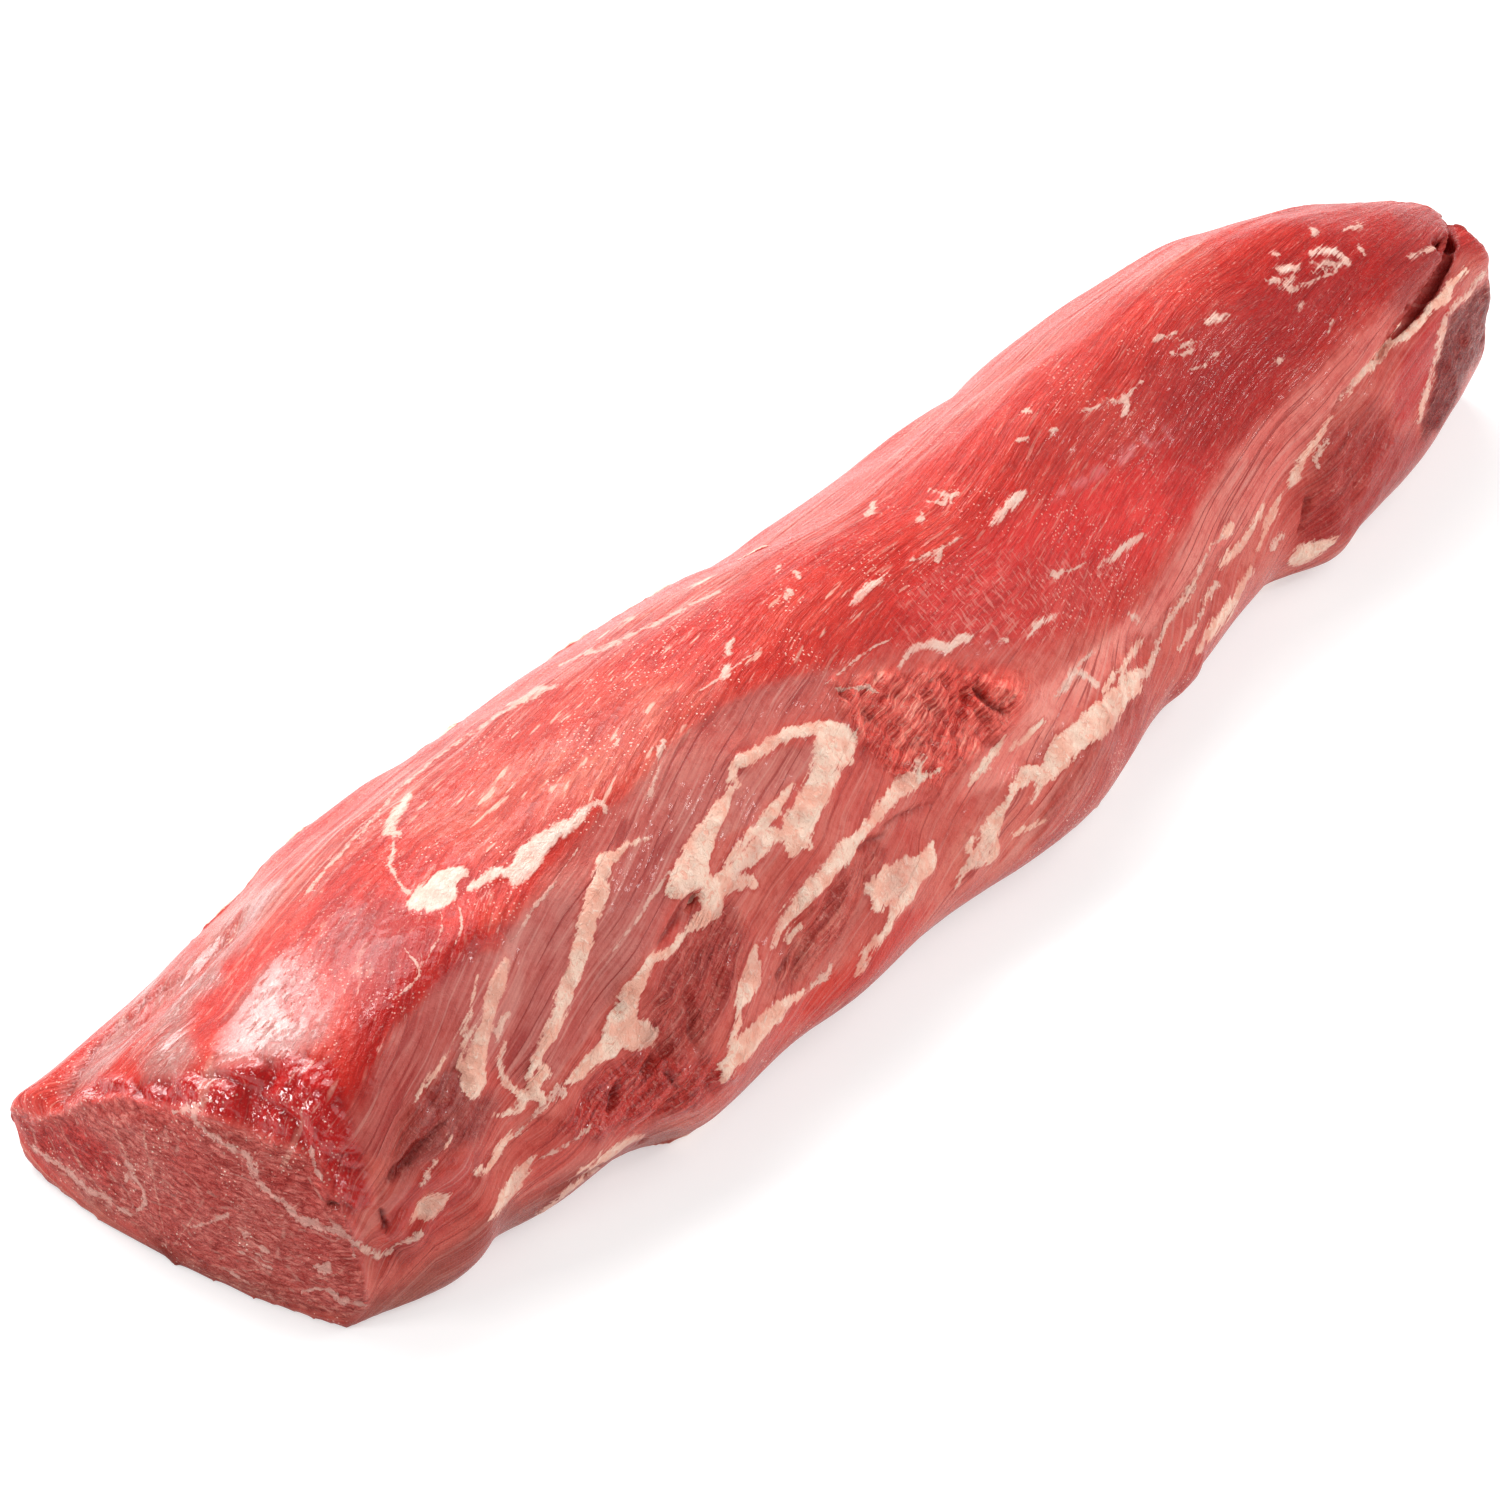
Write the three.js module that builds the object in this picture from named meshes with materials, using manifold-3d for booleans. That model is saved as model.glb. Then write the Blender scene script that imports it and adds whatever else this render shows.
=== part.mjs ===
// A raw chateaubriand roast: the centre cut of a beef tenderloin, lying on its side on a table.
// Millimetres, +Z up. X runs along the roast from the near cut end (-X) to the far cut end (+X),
// and -Y is the trimmed side with the fat seams. The roast is one piece of meat, so it is one solid.
import * as THREE from "three";
import { mergeVertices } from "three/addons/utils/BufferGeometryUtils.js";
import Module from "manifold-3d";

// Driving dimensions of the roast.
const LENGTH = 381;
const NEAR_END = -190;

// How the skin is divided: zones of rings along the length, and points on each stretch of a ring.
const RING_ZONES = [
  { length: 14, rings: 8 },
  { length: 355, rings: 97 },
  { length: 12, rings: 5 },
];
const STRETCH_POINTS = [4, 15, 8, 6, 6, 4, 2, 2];
const CAP_RINGS = 6;

// Each outline of the roast is a ring of eight landmarks. Every landmark is a pair of curves along
// the length, [distance from the near end, size] with both in mm. The landmarks under the floor are
// cut off level with it, which makes the flat that the roast rests on.
const FLOOR_Z = -2;
const CURVE_STEPS = 400;
const RIGHT_FOOT_Y = [
  [0, -34], [16, -39], [27, -39], [36, -37], [49, -39], [60, -38], [74, -40], [84, -45], [100, -43],
  [131, -43], [160, -42], [204, -45], [220, -42], [240, -37], [264, -34], [281, -30], [296, -28],
  [309, -32], [340, -28.5], [381, -20],
];
const BELLY_Y = [
  [0, -38], [8, -41], [24, -48], [36, -47], [54, -51], [70, -52], [84, -58], [114, -56], [131, -57],
  [160, -55], [204, -57], [220, -53], [234, -49], [264, -44], [281, -41], [296, -39], [309, -43],
  [340, -40.5], [365, -34.5], [381, -29],
];
const BELLY_Z = [[0, 8], [24, 13], [190, 13], [300, 14], [381, 14]];
const RIDGE_Y = [[0, -34], [9, -33], [25, -31], [60, -27], [160, -25], [260, -24], [320, -27], [381, -28]];
const RIDGE_Z = [
  [0, 18], [4, 34], [9, 43], [16, 47], [30, 51], [50, 54], [80, 57], [140, 58], [200, 52], [260, 50],
  [320, 50], [350, 47], [381, 38],
];
const CROWN_Y = [[0, -12], [9, -9], [60, -6], [140, -4], [220, -6], [320, -9], [350, -12], [381, -15]];
const CROWN_Z = [
  [0, 30], [4, 38], [9, 43], [20, 47], [45, 53], [75, 55], [110, 58], [150, 60], [210, 56], [260, 60],
  [310, 62], [330, 60], [345, 55.5], [365, 49.5], [381, 43],
];
const SHOULDER_Y = [
  [0, 24], [25, 23], [47, 23.5], [79, 24.5], [108, 24], [160, 23], [181, 21], [194, 19], [235, 18],
  [265, 18], [286, 18.5], [315, 18], [350, 16.5], [381, 13],
];
const SHOULDER_Z = [
  [0, 21], [8, 28], [25, 34], [47, 39.5], [62, 42.5], [79, 44], [108, 45], [137, 45], [181, 44],
  [194, 42.5], [206, 42.5], [235, 43], [265, 44.5], [286, 46], [315, 46], [332, 45], [350, 41], [365, 38], [381, 33],
];
const LEFT_Y = [
  [0, 46], [10, 43], [25, 42], [47, 42], [79, 44], [137, 44], [160, 43.5], [181, 42], [194, 40], [235, 39],
  [265, 38], [286, 39], [315, 39], [332, 38], [350, 36], [381, 33],
];
const LEFT_Z = [
  [0, 10], [25, 14], [62, 16.5], [130, 18], [167, 19], [265, 19], [300, 20.5], [350, 21], [381, 19],
];
const LEFT_FOOT_Y = [[0, 36], [60, 33], [150, 34], [300, 30], [381, 20]];

// The cut faces bulge. A point of a face lies back by curl times the square of its distance from the
// middle y, and by lean times its height. The skin follows the face out to its reach.
const NEAR_FACE = { middle: 4, curl: 0.0035, lean: 0.08, reach: 50 };
const FAR_FACE = { middle: -18, curl: 0.003, lean: 0.05, reach: 40 };

// Relief of the skin. Each stroke follows a path of [x, y, z] points near the skin. Within its reach
// the skin rises by so many mm, or sinks where the rise is negative.
const STROKES = [
  // The seam beside the thin strip of muscle on the left edge, and the shallow valley over the top.
  { path: [[-189, 31, 18], [-176, 31, 24], [-160, 24, 34], [-146, 22, 40]], reach: 6, rise: -2.2 },
  { path: [[-114, -23, 58], [-131, -21, 57], [-137, -12, 55], [-120, 8, 51]], reach: 10, rise: -1.3 },
  // Hollows of darker flesh on the trimmed side, between the fat and the ground edge.
  { path: [[-171, -38, 37], [-164, -38, 42], [-154, -37, 43]], reach: 8, rise: -1.6 },
  { path: [[-128, -48, 25], [-112, -49, 30], [-94, -47, 35], [-78, -50, 30]], reach: 11, rise: -2 },
  { path: [[-38, -38, 45], [-11, -41, 38]], reach: 9, rise: -1.2 },
  // Seams between muscles, low on the trimmed side.
  { path: [[-184, -38, 15], [-174, -41, 16], [-161, -46, 22], [-146, -46, 24]], reach: 5, rise: -1.4 },
  { path: [[121, -37, 33], [106, -37, 27], [91, -40, 22], [44, -45, 25]], reach: 5, rise: -1.6 },
  // Thick pads and cords of fat that stand proud of the trimmed side.
  { path: [[-80, -37, 48], [-92, -40, 45]], reach: 8, rise: 1.6 },
  { path: [[-67, -31, 54], [-53, -33, 52], [-43, -36, 48]], reach: 5, rise: 1 },
  { path: [[-47, -38, 46], [-61, -44, 40], [-69, -45, 39]], reach: 5, rise: 1.4 },
  { path: [[-67, -39, 45], [-82, -40, 44]], reach: 4.5, rise: 1.2 },
  { path: [[-91, -45, 39], [-107, -45, 39], [-112, -46, 36]], reach: 4.5, rise: 1.3 },
  { path: [[-112, -46, 36], [-118, -48, 30], [-126, -47, 30]], reach: 7, rise: 2.2 },
  { path: [[-109, -33, 52], [-118, -37, 46], [-131, -41, 40], [-140, -43, 35]], reach: 4.5, rise: 0.9 },
  { path: [[-137, -33, 50], [-150, -39, 41], [-155, -41, 37]], reach: 5, rise: 1 },
  { path: [[-32, -46, 34], [-48, -47, 35], [-72, -49, 32], [-85, -51, 29]], reach: 5, rise: 1.5 },
  { path: [[-39, -52, 24], [-52, -54, 23]], reach: 7, rise: 1.2 },
  { path: [[36, -48, 22], [15, -53, 22], [-1, -54, 22], [-10, -52, 23]], reach: 7, rise: 1.4 },
  { path: [[-10, -52, 23], [-19, -54, 20], [-26, -55, 16]], reach: 5, rise: 1.1 },
  { path: [[-82, -56, 19], [-99, -57, 19]], reach: 5, rise: 1 },
  // Torn lumps: beside the hole in the trimmed side, at the near corner, and at the ground edge.
  { path: [[-1, -44, 37], [5, -44, 34]], reach: 6, rise: 3 },
  { path: [[-184, -33, 29], [-184, -34, 22]], reach: 6, rise: 2 },
  { path: [[-177, -41, 20], [-172, -42, 17]], reach: 5, rise: 1.8 },
  { path: [[108, -37, 5], [120, -41, 6]], reach: 7, rise: 2 },
  { path: [[56, -47, 11], [62, -46, 11]], reach: 5, rise: 2 },
  // Seams and pads of fat on the back.
  { path: [[-150, 43, 22], [-90, 44, 26], [-20, 41, 28], [40, 38, 27]], reach: 6, rise: -1.6 },
  { path: [[60, 36, 28], [110, 37, 22], [160, 36, 16]], reach: 6, rise: -1.4 },
  { path: [[-120, 38, 34], [-95, 36, 37]], reach: 8, rise: 1.4 },
  { path: [[-30, 41, 22], [-2, 40, 20]], reach: 7, rise: 1.3 },
  { path: [[20, 33, 34], [50, 31, 35], [75, 33, 32]], reach: 6, rise: 1.3 },
  { path: [[100, 38, 25], [125, 37, 27]], reach: 6, rise: 1.2 },
  // Lips of the open seam at the far end.
  { path: [[186, -24, 46], [161, -28, 45], [133, -32, 42]], reach: 6, rise: 1.2 },
  { path: [[186, -30, 38], [161, -34, 36], [133, -37, 33]], reach: 6, rise: 1.6 },
];

// Tears cut into the meat: narrow wedges along a path, with the width and depth at their first point.
// They shrink along the path, and narrow towards their bottom.
const TEARS = [
  // The open seam at the far end, which runs out through the far cut face.
  { path: [[196, -24, 46], [161, -31, 41], [133, -35, 37], [117, -37, 34]], width: 4, depth: 15 },
  // The hole in the trimmed side.
  { path: [[-8, -41, 41], [-5, -42, 39], [-2, -45, 34]], width: 4.5, depth: 8 },
  // A crevice under the thickest pad of fat, and one above the ground edge by the near end.
  { path: [[-91, -42, 44], [-99, -44, 42], [-109, -46, 39]], width: 3.5, depth: 6 },
  { path: [[-174, -40, 30], [-168, -41, 33], [-157, -43, 36]], width: 3.5, depth: 6 },
  // The hole in the near corner.
  { path: [[-195, -28, 25], [-186, -31, 25], [-181, -34, 24]], width: 4.5, depth: 6 },
];
const TEAR = {
  inward: new THREE.Vector3(0, 0.92, -0.38),
  overhang: 6,
  bottom: 0.3,
  endSize: 0.3,
  steps: 3,
};
const SLIVER_HEIGHT = 0.01;

// Soft bulges of the muscle bundles, long in the direction of the fibres. The waves are in mm per radian.
const BUNDLE = { rise: 0.45, girth: 30, middleZ: 25, length: 9, width: 5, sway: 17, drift: 23 };

// Relief fades out over this height above the surface that the roast lies on.
const RELIEF_FADE = 6;

function curve(points) {
  const spline = new THREE.CatmullRomCurve3(
    points.map(([s, size]) => new THREE.Vector3(s, size, 0)),
    false,
    "centripetal",
  );
  const table = spline.getPoints(CURVE_STEPS);
  return (s) => {
    const at = table.findIndex((p) => p.x >= s);
    if (at <= 0) return table[at < 0 ? table.length - 1 : 0].y;
    const [a, b] = [table[at - 1], table[at]];
    return THREE.MathUtils.mapLinear(s, a.x, b.x, a.y, b.y);
  };
}

const fixed = (size) => () => size;
const LANDMARKS = [
  [curve(RIGHT_FOOT_Y), fixed(FLOOR_Z)],
  [curve(BELLY_Y), curve(BELLY_Z)],
  [curve(RIDGE_Y), curve(RIDGE_Z)],
  [curve(CROWN_Y), curve(CROWN_Z)],
  [curve(SHOULDER_Y), curve(SHOULDER_Z)],
  [curve(LEFT_Y), curve(LEFT_Z)],
  [curve(LEFT_FOOT_Y), fixed(FLOOR_Z)],
  [fixed(0), fixed(FLOOR_Z)],
];

function ringDistances() {
  const distances = [0];
  for (const zone of RING_ZONES) {
    const start = distances.at(-1);
    for (let i = 1; i <= zone.rings; i += 1) distances.push(start + (zone.length * i) / zone.rings);
  }
  return distances;
}

function ringAt(s) {
  const corners = LANDMARKS.map(([y, z]) => new THREE.Vector3(0, y(s), z(s)));
  const loop = new THREE.CatmullRomCurve3(corners, true, "centripetal");
  const points = [];
  STRETCH_POINTS.forEach((count, stretch) => {
    for (let i = 0; i < count; i += 1) {
      const p = loop.getPoint((stretch + i / count) / STRETCH_POINTS.length);
      points.push(new THREE.Vector3(alongAt(s, p.y, p.z), p.y, Math.max(0, p.z)));
    }
  });
  return points;
}

function setBack(face, y, z) {
  return face.curl * (y - face.middle) ** 2 + face.lean * Math.max(0, z);
}

function alongAt(s, y, z) {
  const near = Math.max(0, 1 - s / NEAR_FACE.reach);
  const far = Math.max(0, 1 - (LENGTH - s) / FAR_FACE.reach);
  return NEAR_END + s + near * setBack(NEAR_FACE, y, z) - far * setBack(FAR_FACE, y, z);
}

function roastSkin() {
  const around = STRETCH_POINTS.reduce((a, b) => a + b, 0);
  const distances = ringDistances();
  const points = distances.flatMap(ringAt);
  const index = [];
  for (let ring = 0; ring < distances.length - 1; ring += 1) {
    for (let i = 0; i < around; i += 1) {
      const a = ring * around + i;
      const b = ring * around + ((i + 1) % around);
      index.push(a, a + around, b, b, a + around, b + around);
    }
  }
  addCap(points, index, 0, around, 0);
  addCap(points, index, (distances.length - 1) * around, around, LENGTH);
  const skin = new THREE.BufferGeometry().setFromPoints(points);
  skin.setIndex(index);
  return skin;
}

// Closes one end with rings that shrink to the middle of the face. The near end is at s = 0.
function addCap(points, index, first, around, s) {
  const rim = points.slice(first, first + around);
  const middle = rim.reduce((sum, p) => sum.addScaledVector(p, 1 / around), new THREE.Vector3());
  let outer = first;
  for (let ring = 1; ring <= CAP_RINGS; ring += 1) {
    const inner = points.length;
    const last = ring === CAP_RINGS;
    for (let i = 0; i < (last ? 1 : around); i += 1) {
      const p = rim[i].clone().lerp(middle, ring / CAP_RINGS);
      p.x = alongAt(s, p.y, p.z);
      points.push(p);
    }
    for (let i = 0; i < around; i += 1) {
      const next = (i + 1) % around;
      const faces = [[outer + i, outer + next, inner + (last ? 0 : i)]];
      if (!last) faces.push([outer + next, inner + next, inner + i]);
      for (const [p, q, r] of faces) index.push(...(s > 0 ? [p, r, q] : [p, q, r]));
    }
    outer = inner;
  }
}

function bundleRise(p) {
  const around = Math.atan2(p.z - BUNDLE.middleZ, p.y) * BUNDLE.girth;
  const along = Math.sin(p.x / BUNDLE.length + 2 * Math.sin(around / BUNDLE.sway));
  const across = Math.sin(around / BUNDLE.width + 1.5 * Math.sin(p.x / BUNDLE.drift));
  return BUNDLE.rise * along * across;
}

function strokeRise(p, { path, reach, rise }) {
  const nearest = new THREE.Vector3();
  let gap = Infinity;
  for (let i = 1; i < path.length; i += 1) {
    const line = new THREE.Line3(new THREE.Vector3(...path[i - 1]), new THREE.Vector3(...path[i]));
    gap = Math.min(gap, line.closestPointToPoint(p, true, nearest).distanceTo(p));
  }
  return gap < reach ? rise * (1 - (gap / reach) ** 2) ** 2 : 0;
}

// Moves the skin along its normals. The flat that the roast lies on stays flat.
function addRelief(skin) {
  skin.computeVertexNormals();
  const { position, normal } = skin.attributes;
  const p = new THREE.Vector3();
  const out = new THREE.Vector3();
  for (let i = 0; i < position.count; i += 1) {
    p.fromBufferAttribute(position, i);
    out.fromBufferAttribute(normal, i);
    const rise = STROKES.reduce((sum, stroke) => sum + strokeRise(p, stroke), bundleRise(p));
    p.addScaledVector(out, rise * THREE.MathUtils.smoothstep(p.z, 0, RELIEF_FADE));
    position.setXYZ(i, p.x, p.y, Math.max(0, p.z));
  }
}

// A closed wedge with four corners to a section: two outside the skin and two at the bottom of the tear.
function tearWedge({ path, width, depth }) {
  const spine = new THREE.CatmullRomCurve3(path.map((p) => new THREE.Vector3(...p)));
  const steps = path.length * TEAR.steps;
  const points = [];
  for (let i = 0; i <= steps; i += 1) {
    const share = i / steps;
    const size = THREE.MathUtils.lerp(1, TEAR.endSize, share);
    const middle = spine.getPoint(share);
    const side = spine.getTangent(share).cross(TEAR.inward).normalize();
    const [top, low] = [-TEAR.overhang, depth * size];
    const corners = [[top, 1], [top, -1], [low, -TEAR.bottom], [low, TEAR.bottom]];
    for (const [level, aside] of corners) {
      const corner = middle.clone().addScaledVector(TEAR.inward, level);
      points.push(corner.addScaledVector(side, aside * size * (width / 2)));
    }
  }
  const index = [0, 2, 1, 0, 3, 2];
  for (let i = 0; i < steps; i += 1) {
    for (let corner = 0; corner < 4; corner += 1) {
      const [p, q] = [i * 4 + corner, i * 4 + ((corner + 1) % 4)];
      index.push(p, q, p + 4, q, q + 4, p + 4);
    }
  }
  const last = steps * 4;
  index.push(last, last + 1, last + 2, last, last + 2, last + 3);
  return new THREE.BufferGeometry().setFromPoints(points).setIndex(index);
}

const wasm = await Module();
wasm.setup();

function toSolid(geometry) {
  const bare = geometry.clone();
  bare.deleteAttribute("normal");
  const merged = mergeVertices(bare);
  const vertProperties = new Float32Array(merged.attributes.position.array);
  const triVerts = new Uint32Array(merged.index.array);
  return new wasm.Manifold(new wasm.Mesh({ numProp: 3, vertProperties, triVerts }));
}

function toGeometry(solid) {
  const { vertProperties, triVerts } = solid.getMesh();
  const geometry = new THREE.BufferGeometry();
  geometry.setAttribute("position", new THREE.BufferAttribute(vertProperties, 3));
  geometry.setIndex(new THREE.BufferAttribute(triVerts, 1));
  return geometry;
}

// The origin is under the middle of the roast, on the surface that it lies on.
function standOnOrigin(geometry) {
  geometry.computeBoundingBox();
  const { min, max } = geometry.boundingBox;
  geometry.translate(-(min.x + max.x) / 2, -(min.y + max.y) / 2, -min.z);
  geometry.computeVertexNormals();
}

const skin = roastSkin();
addRelief(skin);
const torn = TEARS.reduce((solid, tear) => solid.subtract(toSolid(tearWedge(tear))), toSolid(skin));
// The tears can cut off crumbs and leave slivers, so only the largest piece is kept, without the slivers.
const [meat] = torn.decompose().sort((a, b) => b.volume() - a.volume());
const surface = toGeometry(meat.simplify(SLIVER_HEIGHT));
standOnOrigin(surface);

const roast = new THREE.Group();
const rawMeat = new THREE.MeshStandardMaterial({ color: 0xc0443c, roughness: 0.35, metalness: 0 });
const tenderloin = new THREE.Mesh(surface, rawMeat);
tenderloin.name = "tenderloin";
roast.add(tenderloin);

export default roast;
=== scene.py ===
import math
from types import SimpleNamespace

import bpy
import numpy as np
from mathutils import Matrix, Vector


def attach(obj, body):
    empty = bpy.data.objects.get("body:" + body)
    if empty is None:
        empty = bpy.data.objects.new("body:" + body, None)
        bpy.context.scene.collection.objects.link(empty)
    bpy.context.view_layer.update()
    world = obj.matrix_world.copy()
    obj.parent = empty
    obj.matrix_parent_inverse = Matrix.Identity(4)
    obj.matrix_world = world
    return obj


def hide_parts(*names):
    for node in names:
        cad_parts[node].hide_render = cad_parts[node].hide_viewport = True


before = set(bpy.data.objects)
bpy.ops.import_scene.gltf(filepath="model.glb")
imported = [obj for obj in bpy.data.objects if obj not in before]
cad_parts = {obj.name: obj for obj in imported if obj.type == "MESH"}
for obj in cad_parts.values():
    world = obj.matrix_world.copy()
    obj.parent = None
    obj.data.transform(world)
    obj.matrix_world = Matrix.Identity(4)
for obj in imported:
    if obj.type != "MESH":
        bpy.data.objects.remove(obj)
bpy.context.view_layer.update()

MM = 0.001

# The picture: its size in pixels, and the camera that sees the roast as it does. Lengths are in metres.
PICTURE_WIDE, PICTURE_HIGH = 1500, 1499
AZIMUTH, ELEVATION = math.radians(-52), math.radians(36)
CAMERA_DISTANCE = 1.4
CAMERA_TARGET = np.array([-0.02554, 0.00421, 0.02062])
LENS, SENSOR = 175.3, 36
MM_A_PIXEL = 1 / 5.2

# How many pixels the lines lose where the surface turns away from the camera.
EDGE_FADE = 14

# The fine surface: the voxel of the remesh, and the rounds of smoothing that take the facets out. After the
# rounds for tears, the edges of holes and slits hardly move. What has shrunk is given back, and the last
# number says how far that is spread.
VOXEL = 0.8 * MM
SMOOTH_ROUNDS = 22
TEAR_ROUNDS = 8
TEAR_WORDS = ("hole", "slit", "crevice")
REGAIN_ROUNDS = 10

# The cut ends start this far from the middle, and are complete at the second distance, in millimetres.
END_START, END_FULL = 165, 178

# The fibres are laid out as on a roll of this radius, in millimetres.
ROLL_RADIUS = 40.0

# Half the roast's width and height, and the side of the square it is unrolled on, in millimetres.
HALF_WIDE, HALF_HIGH, SHEET = 52, 31, 400

# Streaks of fat on the sides that don't show, and how deep the material's finest relief is.
HIDDEN_STREAKS = 110
BUMP_DEPTH = 0.7 * MM
FLOOR_REACH = 6.0

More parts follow.
